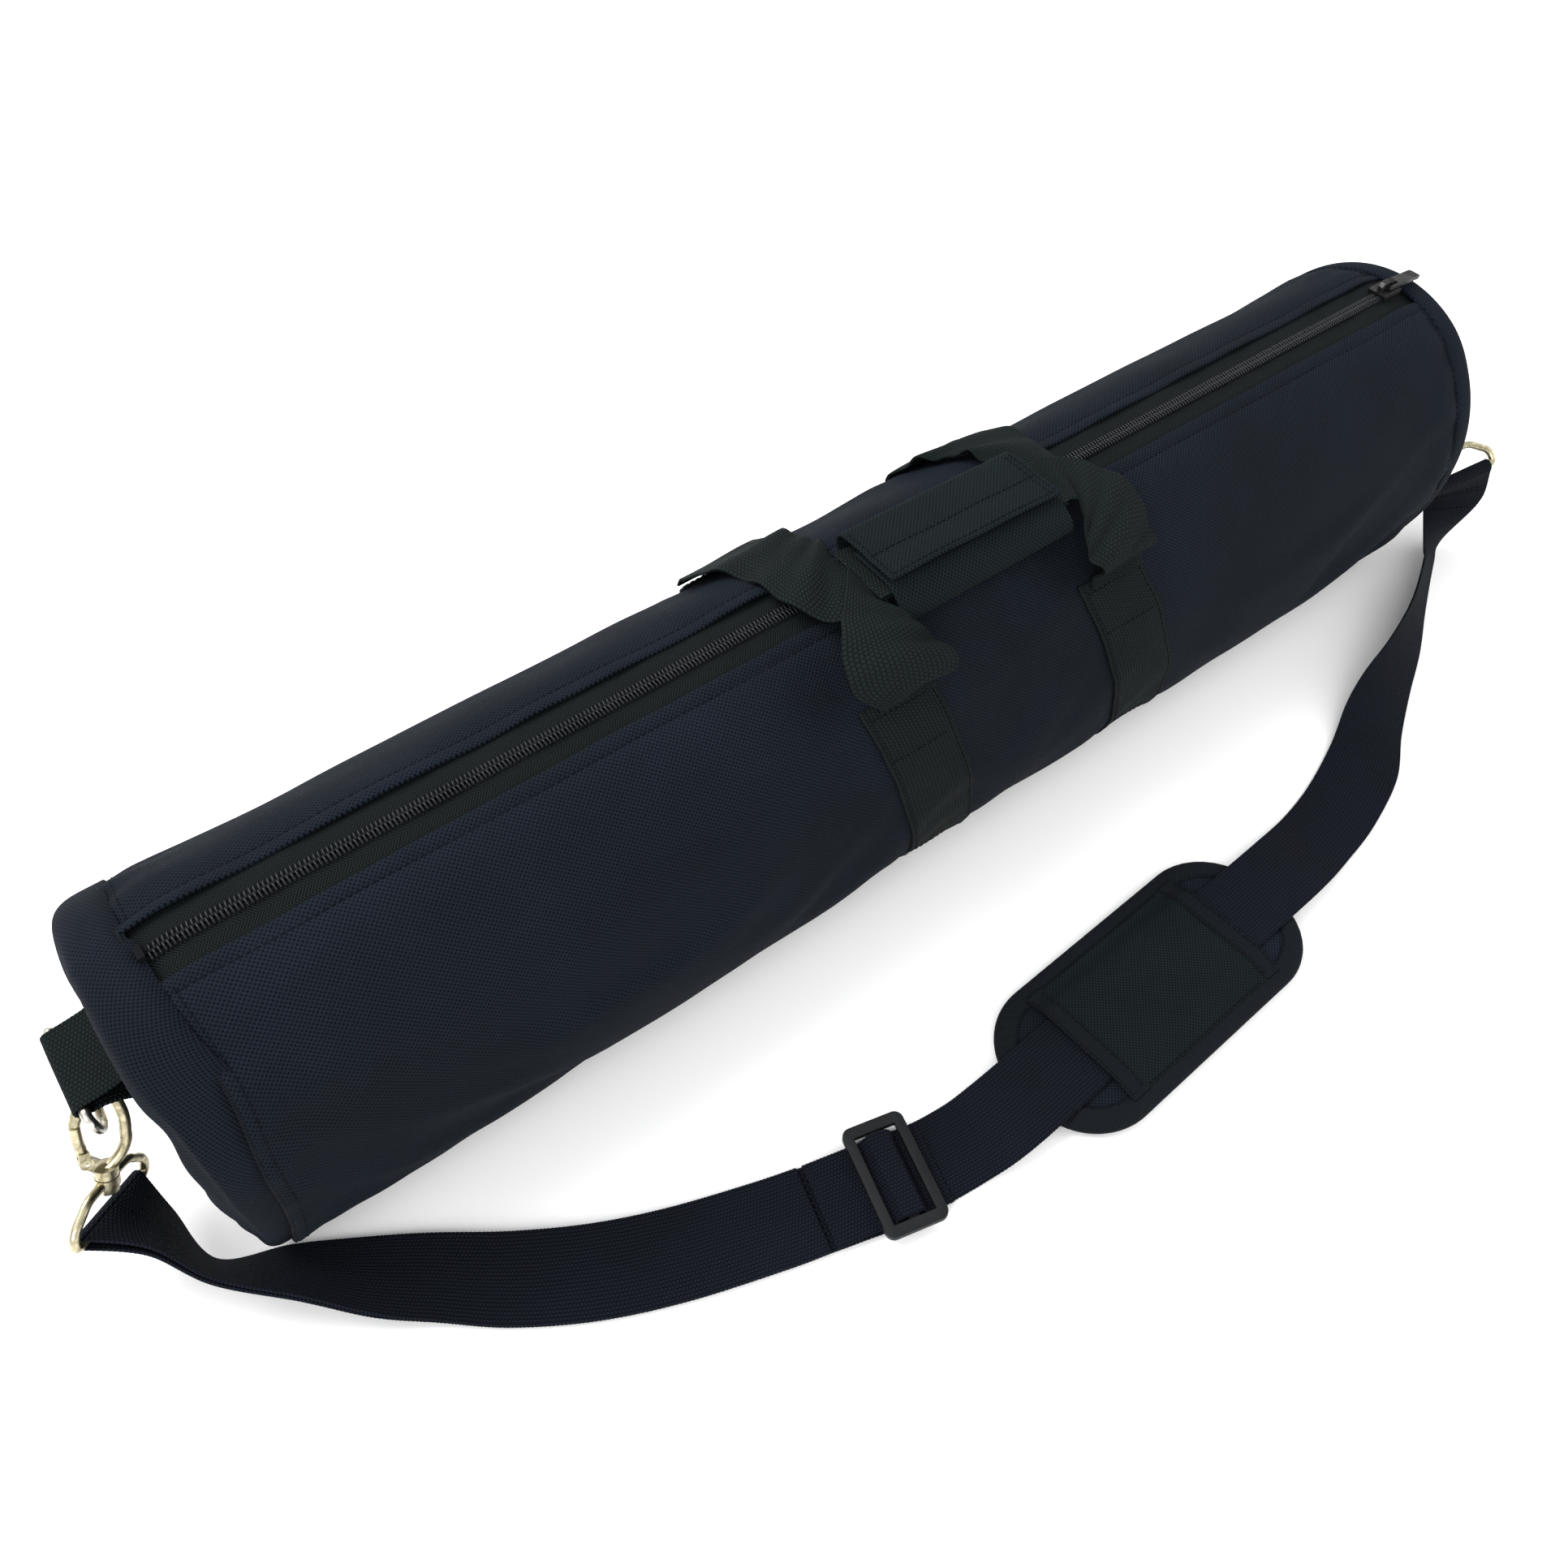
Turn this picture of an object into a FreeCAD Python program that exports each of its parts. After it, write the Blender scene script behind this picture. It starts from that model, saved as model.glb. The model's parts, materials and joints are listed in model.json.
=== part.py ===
import FreeCAD, Part
import math
import os

V = FreeCAD.Vector
doc = FreeCAD.newDocument("CarryTube")

# ---------------------------------------------------------------- sizes (mm)
SIZES = dict(
    bag_length=708.0, bag_width=147.0, bag_height=162.0, end_round=18.0, seam_place=336.0,
    side_arc_upper=89.0, side_arc_lower=120.0, corner_arc=40.0,
    skin_thick=2.0, foam_deep=8.0, lining_deep=8.8, layer_gap=0.05,
    slot_front=-18.5, slot_back=5.5, slot_half=333.5, foam_slot_front=-27.0, foam_slot_back=14.0,
    tape_thick=0.8, tape_half=332.0, coil_half=329.0, coil_wide=2.5, coil_tall=2.3, coil_gap=1.0,
    zip_line=-6.5, coil_base=159.85,
    web_wide=38.0, web_thick=1.3, band_deep=1.0, band_top=135.0,
    slider_place=320.0, slider_long=13.0, slider_wide=10.5, slider_plate=1.2,
    pull_long=25.0, pull_wide=7.0, pull_thick=1.6,
    grip_long=92.0, grip_wall=1.6, grip_lift=170.6, grip_place_x=20.0, grip_place_y=-11.0,
    run_long=100.0, run_wide=36.0, closure_wide=18.0, closure_thick=1.05,
    tab_wide=38.0, ring_wire=1.9, ring_half=22.0, ring_corner=3.0,
    bail_wire=1.9, bail_half=22.0, bail_tall=16.0, boss_outer=4.6, boss_tall=4.4, boss_bore=2.35,
    stem_wire=2.25, head_wide=3.9, head_tall=2.5, collar_wide=4.4, collar_tall=4.3,
    hook_wire=2.2, hook_half=8.4, hook_top=57.8, gate_wire=2.0, gate_pin=0.8,
    buckle_long=28.0, buckle_wide=50.0, buckle_thick=3.6, buckle_bar=4.5, buckle_rail=5.0, buckle_round=4.0, bar_thick=2.4, buckle_base=5.1,
    pad_long=168.0, pad_wide=78.0, pad_round=34.0, pad_foam_tall=5.2, pad_cover=0.8, pad_edge=2.0, pad_base=0.3, pad_edge_tall=7.2,
    panel_long=102.0, panel_wide=64.0, panel_thick=1.0, panel_side=2.0, panel_under=2.5, patch_wide=14.0, patch_thick=1.2,
)
sheet = doc.addObject("Spreadsheet::Sheet", "Sizes")
for row, (alias, value) in enumerate(SIZES.items(), start=1):
    sheet.set("A%d" % row, alias)
    sheet.set("B%d" % row, "%g" % value)
    sheet.setAlias("B%d" % row, alias)
doc.recompute()


def dim(alias):
    return float(getattr(sheet, alias))


PARTS = []


def keep(obj, name):
    obj.Label = name
    PARTS.append((name, obj))
    return obj


def feature(name, shape):
    """A sub-part whose own shape follows curved cloth or webbing."""
    obj = doc.addObject("Part::Feature", name)
    obj.Shape = shape
    return keep(obj, name)


def origin_plane(body, role):
    for item in body.Origin.OriginFeatures:
        if item.Role == role:
            return item
    raise RuntimeError(role)


def new_body(name):
    body = doc.addObject("PartDesign::Body", name)
    body.Label = name
    return body


def new_sketch(body, name, role):
    sk = body.newObject("Sketcher::SketchObject", name)
    sk.AttachmentSupport = [(origin_plane(body, role), "")]
    sk.MapMode = "FlatFace"
    return sk


def add_polygon(sk, pts):
    """Closed polygon of fixed points."""
    import Sketcher
    first = sk.GeometryCount
    n = len(pts)
    for i in range(n):
        a, b = pts[i], pts[(i + 1) % n]
        sk.addGeometry(Part.LineSegment(V(a[0], a[1], 0), V(b[0], b[1], 0)), False)
    for i in range(n):
        sk.addConstraint(Sketcher.Constraint("Coincident", first + i, 2, first + (i + 1) % n, 1))
    for i in range(n):
        sk.addConstraint(Sketcher.Constraint("Block", first + i)) if i % 2 == 0 else None


def add_rectangle(sk, tag, centre, wide, tall):
    """Rectangle about a fixed centre whose width and height follow the sheet."""
    import Sketcher
    cx, cy = centre
    wv, tv = sheet_value(wide), sheet_value(tall)
    x0, x1, y0, y1 = cx - wv / 2, cx + wv / 2, cy - tv / 2, cy + tv / 2
    first = sk.GeometryCount
    p = [V(x0, y0, 0), V(x1, y0, 0), V(x1, y1, 0), V(x0, y1, 0)]
    for i in range(4):
        sk.addGeometry(Part.LineSegment(p[i], p[(i + 1) % 4]), False)
    for i in range(4):
        sk.addConstraint(Sketcher.Constraint("Coincident", first + i, 2, first + (i + 1) % 4, 1))
    for i in (0, 2):
        sk.addConstraint(Sketcher.Constraint("Horizontal", first + i))
    for i in (1, 3):
        sk.addConstraint(Sketcher.Constraint("Vertical", first + i))
    k = sk.addConstraint(Sketcher.Constraint("DistanceX", first, 1, first, 2, wv))
    sk.renameConstraint(k, tag + "_wide")
    sk.setExpression("Constraints.%s_wide" % tag, wide)
    k = sk.addConstraint(Sketcher.Constraint("DistanceY", first + 1, 1, first + 1, 2, tv))
    sk.renameConstraint(k, tag + "_tall")
    sk.setExpression("Constraints.%s_tall" % tag, tall)
    k = sk.addConstraint(Sketcher.Constraint("DistanceX", -1, 1, first, 1, x0))
    sk.renameConstraint(k, tag + "_left")
    sk.setExpression("Constraints.%s_left" % tag, "%g - (%s) / 2" % (cx, wide))
    k = sk.addConstraint(Sketcher.Constraint("DistanceY", -1, 1, first, 1, y0))
    sk.renameConstraint(k, tag + "_low")
    sk.setExpression("Constraints.%s_low" % tag, "%g - (%s) / 2" % (cy, tall))


def sheet_value(expr):
    names = {k: v for k, v in SIZES.items()}
    text = expr.replace("Sizes.", "")
    total = 0.0
    # sums and differences of products and quotients of aliases and numbers
    out, sign, token, depth = [], 1.0, "", 0
    terms = []
    for ch in text.replace(" ", ""):
        if ch in "+-" and token:
            terms.append((sign, token))
            sign, token = (1.0 if ch == "+" else -1.0), ""
        elif ch == "-" and not token:
            sign = -sign
        else:
            token += ch
    terms.append((sign, token))
    for s, tok in terms:
        val, op = 1.0, "*"
        part = ""
        for ch in tok + "*":
            if ch in "*/":
                num = names[part] if part in names else float(part)
                val = val * num if op == "*" else val / num
                op, part = ch, ""
            else:
                part += ch
        total += s * val
    return total


def pad(body, sk, length, midplane=False, reverse=False):
    f = body.newObject("PartDesign::Pad", sk.Name + "_pad")
    f.Profile = sk
    f.Length = 1.0
    f.setExpression("Length", length)
    if midplane:
        try:
            f.SideType = "Symmetric"
        except Exception:
            f.Midplane = True
    f.Reversed = reverse
    sk.Visibility = False
    return f


def pocket(body, sk, length, midplane=False, reverse=False):
    doc.recompute()
    before = body.Shape.Volume
    f = body.newObject("PartDesign::Pocket", sk.Name + "_cut")
    f.Profile = sk
    f.Length = 1.0
    f.setExpression("Length", length)
    if midplane:
        try:
            f.SideType = "Symmetric"
        except Exception:
            f.Midplane = True
    f.Reversed = reverse
    doc.recompute()
    if not body.Shape.Volume < before - 1e-6:
        f.Reversed = not reverse
        doc.recompute()
        if not body.Shape.Volume < before - 1e-6:
            raise RuntimeError("pocket cut nothing: " + sk.Name)
    return f


def fillet_edges(body, radius, chooser):
    doc.recompute()
    base = body.Tip
    names = ["Edge%d" % (i + 1) for i, e in enumerate(base.Shape.Edges) if chooser(e)]
    f = body.newObject("PartDesign::Fillet", body.Name + "_round")
    f.Base = (base, names)
    f.Radius = 1.0
    f.setExpression("Radius", radius)
    return f


def vertical(e):
    a, b = e.Vertexes[0].Point, e.Vertexes[-1].Point
    return abs(a.x - b.x) < 1e-6 and abs(a.y - b.y) < 1e-6 and abs(a.z - b.z) > 1e-3


def strip_outline(path, thick):
    """Outline of a band of even thickness along an open path."""
    left, right = [], []
    n = len(path)
    for i in range(n):
        a = path[max(i - 1, 0)]
        b = path[min(i + 1, n - 1)]
        if 0 < i < n - 1:
            d0 = (path[i][0] - a[0], path[i][1] - a[1])
            d1 = (b[0] - path[i][0], b[1] - path[i][1])
            l0, l1 = math.hypot(*d0), math.hypot(*d1)
            n0 = (-d0[1] / l0, d0[0] / l0)
            n1 = (-d1[1] / l1, d1[0] / l1)
            m = (n0[0] + n1[0], n0[1] + n1[1])
            lm = math.hypot(*m)
            m = (m[0] / lm, m[1] / lm)
            k = thick / 2 / max(0.35, m[0] * n0[0] + m[1] * n0[1])
        else:
            d = (b[0] - a[0], b[1] - a[1])
            l = math.hypot(*d)
            m, k = (-d[1] / l, d[0] / l), thick / 2
        left.append((path[i][0] + m[0] * k, path[i][1] + m[1] * k))
        right.append((path[i][0] - m[0] * k, path[i][1] - m[1] * k))
    return left + right[::-1]


def frame_placement(origin, x_axis, y_axis, z_axis):
    m = FreeCAD.Matrix(
        x_axis.x, y_axis.x, z_axis.x, origin.x,
        x_axis.y, y_axis.y, z_axis.y, origin.y,
        x_axis.z, y_axis.z, z_axis.z, origin.z,
        0, 0, 0, 1)
    return FreeCAD.Placement(m)


def unit(v):
    v = V(v)
    v.normalize()
    return v


# ---------------------------------------------------------------- bag profile
HALF = dim("bag_width") / 2
MID = dim("bag_height") / 2
R_UP, R_LOW, R_COR = dim("side_arc_upper"), dim("side_arc_lower"), dim("corner_arc")
R_TOP = (R_UP ** 2 - MID ** 2 - (HALF - R_UP) ** 2) / (2 * (R_UP - MID))
FLAT = math.sqrt((R_LOW - R_COR) ** 2 - (MID - R_COR) ** 2) - (R_LOW - HALF)
C_TOP = (0.0, dim("bag_height") - R_TOP)
C_UP = (HALF - R_UP, MID)
C_LOW = (HALF - R_LOW, MID)
C_COR = (FLAT, R_COR)
A_TOP = math.atan2(C_TOP[1] - C_UP[1], C_TOP[0] - C_UP[0])
A_COR = math.atan2(C_COR[1] - C_LOW[1], C_COR[0] - C_LOW[0])


def profile_wire(depth, x):
    """Belly section, a flat base and tangent arcs, set in by depth."""
    def at(c, r, a):
        return (c[0] + (r - depth) * math.cos(a), c[1] + (r - depth) * math.sin(a))

    def p3(p, side=1):
        return V(x, side * p[0], p[1])
    arcs = [(C_COR, R_COR, -math.pi / 2, A_COR), (C_LOW, R_LOW, A_COR, 0.0), (C_UP, R_UP, 0.0, A_TOP), (C_TOP, R_TOP, A_TOP, math.pi / 2)]
    edges = []
    for c, r, a0, a1 in arcs:
        edges.append(Part.Arc(p3(at(c, r, a0)), p3(at(c, r, (a0 + a1) / 2)), p3(at(c, r, a1))).toShape())
    for c, r, a0, a1 in reversed(arcs):
        edges.append(Part.Arc(p3(at(c, r, a1), -1), p3(at(c, r, (a0 + a1) / 2), -1), p3(at(c, r, a0), -1)).toShape())
    edges.append(Part.LineSegment(p3(at(C_COR, R_COR, -math.pi / 2), -1), p3(at(C_COR, R_COR, -math.pi / 2))).toShape())
    return Part.Wire(edges)


def profile_solid(depth):
    half = dim("bag_length") / 2 - depth
    solid = Part.Face(profile_wire(depth, -half)).extrude(V(2 * half, 0, 0))
    r = dim("end_round") - depth
    ends = [e for e in solid.Edges if all(abs(abs(v.Point.x) - half) < 1e-6 for v in e.Vertexes) and abs(e.CenterOfMass.x) > half - 1e-3]
    return solid.makeFillet(r, ends)


def box(x0, x1, y0, y1, z0, z1):
    return Part.makeBox(x1 - x0, y1 - y0, z1 - z0, V(x0, y0, z0))


GAP = dim("layer_gap")
SEAM = dim("seam_place")
outer = profile_solid(0.0)
skin_in = profile_solid(dim("skin_thick"))
foam_out = profile_solid(dim("skin_thick") + GAP)
foam_in = profile_solid(dim("foam_deep"))
lin_out = profile_solid(dim("foam_deep") + GAP)
lin_in = profile_solid(dim("lining_deep"))
skin = outer.cut(skin_in)
foam = foam_out.cut(foam_in)
lining = lin_out.cut(lin_in)
sh = dim("slot_half")
skin = skin.cut(box(-sh, sh, dim("slot_front"), dim("slot_back"), 120, 200))
foam = foam.cut(box(-sh, sh, dim("foam_slot_front"), dim("foam_slot_back"), 120, 200))
lining = lining.cut(box(-sh, sh, dim("slot_front"), dim("slot_back"), 120, 200))

# handle webbing sewn round the belly, let into the cloth by its own depth
BANDS = {"left": (-41.0, -57.0, -10.0), "right": (82.0, 62.0, 120.0)}
band_ring = outer.cut(profile_solid(dim("band_deep")))
bed_ring = outer.cut(profile_solid(dim("band_deep") + GAP))
WEB = dim("web_wide")
band_shapes = {}
for side, (x_front, x_back, x_base) in BANDS.items():
    pieces, beds = [], []
    for top_x, y0, y1 in ((x_front, -90.0, 0.0), (x_back, 0.0, 90.0)):
        z1 = dim("band_top")
        for extra, store, src in ((0.0, pieces, band_ring), (0.1, beds, bed_ring)):
            hw = WEB / 2 + extra
            pts = [V(top_x - hw, y0, z1 + extra), V(top_x + hw, y0, z1 + extra), V(x_base + hw, y0, -1), V(x_base - hw, y0, -1)]
            slab = Part.Face(Part.makePolygon(pts + [pts[0]])).extrude(V(0, y1 - y0, 0))
            store.append(src.common(slab))
    band_shapes[side] = pieces[0].fuse(pieces[1]).removeSplitter()
    for b in beds:
        skin = skin.cut(b)

SPLIT = 0.02
front_zone = box(-SEAM, SEAM, -100, -SPLIT, -10, 200)
back_zone = box(-SEAM, SEAM, SPLIT, 100, -10, 200)
front_zone = box(-SEAM, SEAM, -100, -SPLIT, -10, 120).fuse(box(-SEAM, SEAM, -100, dim("zip_line"), 120, 200))
back_zone = box(-SEAM, SEAM, SPLIT, 100, -10, 120).fuse(box(-SEAM, SEAM, dim("zip_line") + SPLIT, 100, 120, 200))
left_zone = box(-500, -SEAM - SPLIT, -100, 100, -10, 200)
right_zone = box(SEAM + SPLIT, 500, -100, 100, -10, 200)
for kind, layer in (("panel", skin), ("padding", foam), ("lining", lining)):
    for where, zone in (("front", front_zone), ("back", back_zone), ("left_end", left_zone), ("right_end", right_zone)):
        s = layer.common(zone)
        solids = sorted(s.Solids, key=lambda q: -q.Volume)
        feature("%s_%s" % (where, kind), solids[0])
for side, s in band_shapes.items():
    feature("handle_band_%s" % side, sorted(s.Solids, key=lambda q: -q.Volume)[0])


# ---------------------------------------------------------------- zipper
def arc_strip(radius, thick, y0, y1, count):
    def z_at(r, y):
        return C_TOP[1] + math.sqrt(r * r - y * y)
    ys = [y0 + (y1 - y0) * i / count for i in range(count + 1)]
    return [(y, z_at(radius, y)) for y in ys] + [(y, z_at(radius - thick, y)) for y in reversed(ys)]


ZY = dim("zip_line")
CG = dim("coil_gap") / 2
for where, y0, y1 in (("front", dim("foam_slot_front") + 0.6, ZY - CG), ("back", ZY + CG, dim("foam_slot_back") - 0.6)):
    body = new_body("zip_tape_%s" % where)
    sk = new_sketch(body, "tape_section_%s" % where, "YZ_Plane")
    add_polygon(sk, arc_strip(R_TOP - dim("skin_thick") - 0.25, dim("tape_thick"), y0, y1, 5))
    pad(body, sk, "Sizes.tape_half * 2", midplane=True)
    keep(body, "zip_tape_%s" % where)
for where, sgn in (("front", -1), ("back", 1)):
    body = new_body("zip_coil_%s" % where)
    sk = new_sketch(body, "coil_section_%s" % where, "YZ_Plane")
    add_rectangle(sk, "coil", (ZY + sgn * (CG + dim("coil_wide") / 2), dim("coil_base") + dim("coil_tall") / 2), "Sizes.coil_wide", "Sizes.coil_tall")
    pad(body, sk, "Sizes.coil_half * 2", midplane=True)
    fillet_edges(body, "0.6", lambda e: e.Length > 400 and e.CenterOfMass.z > dim("coil_base") + 1)
    keep(body, "zip_coil_%s" % where)
for name, x in (("zip_start_stop", -331.0), ("zip_end_stop", 331.0)):
    stop = doc.addObject("Part::Box", name)
    stop.Length = 2.6
    stop.setExpression("Width", "Sizes.coil_wide * 2 + Sizes.coil_gap")
    stop.setExpression("Height", "Sizes.coil_tall + 0.2")
    stop.Placement = FreeCAD.Placement(V(x - 1.3, ZY - dim("coil_wide") - CG, dim("coil_base") + 0.05), FreeCAD.Rotation())
    keep(stop, name)

SX = dim("slider_place")
body = new_body("zip_slider_body")
top_z = dim("coil_base") + dim("coil_tall") + 0.4
sk = new_sketch(body, "slider_section", "YZ_Plane")
hw = dim("slider_wide") / 2
tp = dim("slider_plate")
low_z = 156.2
# one outline: upper plate with down-turned sides, thin keel between the coils, lower plate
add_polygon(sk, [
    (ZY - 0.25, low_z + tp), (ZY - hw, low_z + tp), (ZY - hw, low_z), (ZY + hw, low_z), (ZY + hw, low_z + tp), (ZY + 0.25, low_z + tp),
    (ZY + 0.25, top_z), (ZY + hw - 1.0, top_z), (ZY + hw - 1.0, top_z - 1.0), (ZY + hw, top_z - 1.0), (ZY + hw, top_z + tp),
    (ZY - hw, top_z + tp), (ZY - hw, top_z - 1.0), (ZY - hw + 1.0, top_z - 1.0), (ZY - hw + 1.0, top_z), (ZY - 0.25, top_z)])
p = pad(body, sk, "Sizes.slider_long", midplane=True)
plate_top = top_z + tp
sk = new_sketch(body, "slider_bridge", "XZ_Plane")
add_polygon(sk, [(-5.2, plate_top - 0.4), (-5.2, plate_top + 2.6), (-3.6, plate_top + 4.4), (3.6, plate_top + 4.4), (5.2, plate_top + 2.6), (5.2, plate_top - 0.4),
                 (3.2, plate_top - 0.4), (3.2, plate_top + 2.2), (2.4, plate_top + 3.0), (-2.4, plate_top + 3.0), (-3.2, plate_top + 2.2), (-3.2, plate_top - 0.4)])
sk.AttachmentOffset = FreeCAD.Placement(V(0, 0, -ZY), FreeCAD.Rotation())
pb = body.newObject("PartDesign::Pad", "bridge_pad")
pb.Profile = sk
pb.Length = 2.4
try:
    pb.SideType = "Symmetric"
except Exception:
    pb.Midplane = True
body.Placement = FreeCAD.Placement(V(SX, 0, 0), FreeCAD.Rotation())
keep(body, "zip_slider_body")

PIN_Z = plate_top + 1.45
body = new_body("zip_pull")
sk = new_sketch(body, "pull_plate", "XY_Plane")
add_rectangle(sk, "plate", ((dim("pull_long") - 0.8) / 2, 0), "Sizes.pull_long", "Sizes.pull_wide")
pad(body, sk, "Sizes.pull_thick", midplane=True)
sk = new_sketch(body, "pull_window", "XY_Plane")
add_polygon(sk, [(0.8, -2.0), (7.6, -2.0), (7.6, 2.0), (0.8, 2.0)])
pocket(body, sk, "Sizes.pull_thick * 3", midplane=True)
fillet_edges(body, "1.2", vertical)
PULL_TILT = 5.0
body.Placement = FreeCAD.Placement(V(SX, ZY, PIN_Z), FreeCAD.Rotation(V(0, 1, 0), PULL_TILT))
keep(body, "zip_pull")


# ---------------------------------------------------------------- ribbons of webbing
def smooth(points, steps):
    """Points between stations on a smooth curve through them."""
    out = []
    n = len(points)
    for i in range(n - 1):
        p0, p1, p2, p3 = points[max(i - 1, 0)], points[i], points[i + 1], points[min(i + 2, n - 1)]
        for k in range(steps):
            t = k / steps
            t2, t3 = t * t, t * t * t
            out.append((p1 * 2 + (p2 - p0) * t + (p0 * 2 - p1 * 5 + p2 * 4 - p3) * t2 + (p1 * 3 - p0 - p2 * 3 + p3) * t3) * 0.5)
    out.append(V(points[-1]))
    return out


def ribbon(edges_a, edges_b, thick, lift=0.0):
    """Closed solid of a webbing between two edge lines, lifted along its own normal."""
    n = len(edges_a)
    rows = []
    for i in range(n):
        a, b = edges_a[i], edges_b[i]
        c0 = (edges_a[max(i - 1, 0)] + edges_b[max(i - 1, 0)]) * 0.5
        c1 = (edges_a[min(i + 1, n - 1)] + edges_b[min(i + 1, n - 1)]) * 0.5
        tan = unit(c1 - c0)
        wide = unit(b - a)
        nor = unit(wide.cross(tan))
        up = lift[i] if isinstance(lift, (list, tuple)) else lift
        rows.append((a + nor * (up + thick / 2), b + nor * (up + thick / 2), b + nor * (up - thick / 2), a + nor * (up - thick / 2)))
    faces = []

    def tri(p, q, r):
        faces.append(Part.Face(Part.makePolygon([p, q, r, p])))
    for i in range(n - 1):
        for k in range(4):
            p, q = rows[i][k], rows[i][(k + 1) % 4]
            r, s = rows[i + 1][(k + 1) % 4], rows[i + 1][k]
            if k == 2:
                tri(p, q, s)
                tri(q, r, s)
            else:
                tri(p, q, r)
                tri(p, r, s)
    for row, flip in ((rows[0], True), (rows[-1], False)):
        tri(row[0], row[2], row[1]) if flip else tri(row[0], row[1], row[2])
        tri(row[0], row[3], row[2]) if flip else tri(row[0], row[2], row[3])
    shell = Part.Shell(faces)
    solid = Part.Solid(shell)
    if solid.Volume < 0:
        solid.reverse()
    return solid


# end hardware frames: bar of the bail, direction of the bar, direction towards the ring, ring bar
LEFT_W = unit(V(0.663, 0.610, -0.432))
LEFT_U = unit(V(0.35, 0.26, 0.90))
LEFT_U = unit(LEFT_U - LEFT_W * LEFT_W.dot(LEFT_U))
LEFT_T = V(-375.0, 8.0, 103.0)
LEFT_K = V(-375.0, 5.4, 78.2)
LEFT_M = LEFT_K - LEFT_U * 51.5
RIGHT_W = unit(V(0.90, -0.316, 0.304))
RIGHT_U = unit(V(0.04, 0.75, 0.66))
RIGHT_U = unit(RIGHT_U - RIGHT_W * RIGHT_W.dot(RIGHT_U))
RIGHT_T = V(379.0, -8.0, 103.0)
RIGHT_K = V(379.0, -23.6, 84.4)
RIGHT_M = RIGHT_K - RIGHT_U * 51.5
print("LEFT_M", LEFT_M, "LEFT_W", LEFT_W, "LEFT_U", LEFT_U)
print("RIGHT_M", RIGHT_M, "RIGHT_W", RIGHT_W, "RIGHT_U", RIGHT_U)

HALFW = WEB / 2
TH = dim("web_thick")
FLOOR2 = 2.1   # middle of the two layers lying on the ground
FLOOR1 = 1.3   # middle of the single layer
PAD_C = V(20.0, -176.0, 0.0)
PAD_A = 0.06
PAD_X = V(math.cos(PAD_A), math.sin(PAD_A), 0)
PAD_Y = V(-math.sin(PAD_A), math.cos(PAD_A), 0)
PAD_TOP = dim("pad_base") + dim("pad_edge_tall")
OVER_PAD = PAD_TOP + 0.4 + TH / 2

# two layers from the left bail to the buckle: inner edge, outer edge
left_inner = [LEFT_M + LEFT_W * HALFW, V(-378, -11, 12.0), V(-372.5, -36, FLOOR2), V(-345, -49, FLOOR2), V(-321, -63, FLOOR2), V(-299, -77, FLOOR2), V(-271, -97, FLOOR2), V(-243, -114, FLOOR2), V(-214, -127.5, FLOOR2), V(-181, -139.5, FLOOR2), V(-162, -145.5, FLOOR2)]
left_outer = [LEFT_M - LEFT_W * HALFW, V(-386.5, -35.5, 37), V(-372, -58.5, 32.5), V(-349, -80, 22), V(-330.5, -98, 12), V(-312, -112, 5), V(-290, -130, FLOOR2), V(-261, -148.5, FLOOR2), V(-228.5, -163.5, FLOOR2), V(-190, -177, FLOOR2), V(-171.5, -182.5, FLOOR2)]


def over_pad(x, side):
    c = PAD_C + PAD_X * x + V(0, 0, OVER_PAD)
    return c + PAD_Y * (side * HALFW)


# single layer: buckle to the right bail
one_inner = [V(-162, -145.5, FLOOR1), V(-150, -149, FLOOR1), V(-128, -155.5, FLOOR1), V(-99, -160.5, FLOOR1)]
one_outer = [V(-171.5, -182.5, FLOOR1), V(-160, -186, FLOOR1), V(-135, -193, FLOOR1), V(-101, -198, FLOOR1)]
for x in (-99.0, -50.0, 0.0, 50.0, 99.0):
    one_inner.append(over_pad(x, 1))
    one_outer.append(over_pad(x, -1))
one_inner += [V(147, -147, FLOOR1 + 0.6), V(174, -141, FLOOR1), V(205, -130, FLOOR1 + 0.6), V(228, -119, 9), V(247, -113, 16), V(272, -108, 22), V(303, -98, 25), V(335, -82, 25), V(350, -73, 20), V(372, -53, 27), RIGHT_M - RIGHT_W * HALFW]
one_outer += [V(151, -184, FLOOR1 + 0.6), V(180, -178, FLOOR1), V(214, -166, FLOOR1), V(240, -149, FLOOR1 + 0.2), V(268, -133, FLOOR1 + 0.2), V(298, -117, FLOOR1 + 0.2), V(330, -97, FLOOR1 + 0.2), V(366, -76, FLOOR1 + 0.2), V(384, -67, 3.5), V(400, -71.5, 29), RIGHT_M + RIGHT_W * HALFW]

STEPS = 3
li, lo = smooth(left_inner, STEPS), smooth(left_outer, STEPS)
LAYER = 0.8
BAR_LOOP = dim("bail_wire") + 0.45 + TH / 2
spread = []
for i in range(len(li)):
    f = max(0.0, 1.0 - i / (2.0 * STEPS))
    spread.append(LAYER + (BAR_LOOP - LAYER) * f * f)
feature("strap_lower_layer", ribbon(li, lo, TH, [-s for s in spread]))
feature("strap_upper_layer", ribbon(li, lo, TH, spread))
ri, ro = smooth(one_inner, STEPS), smooth(one_outer, STEPS)
n = len(ri)
spread_r = []
for i in range(n):
    f = max(0.0, 1.0 - (n - 1 - i) / (1.0 * STEPS))
    spread_r.append(0.8 * (1 if (n - 1 - i) < STEPS else 0) * 0 + BAR_LOOP * f)
feature("strap_long_run", ribbon(ri, ro, TH, [s for s in spread_r]))
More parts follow.
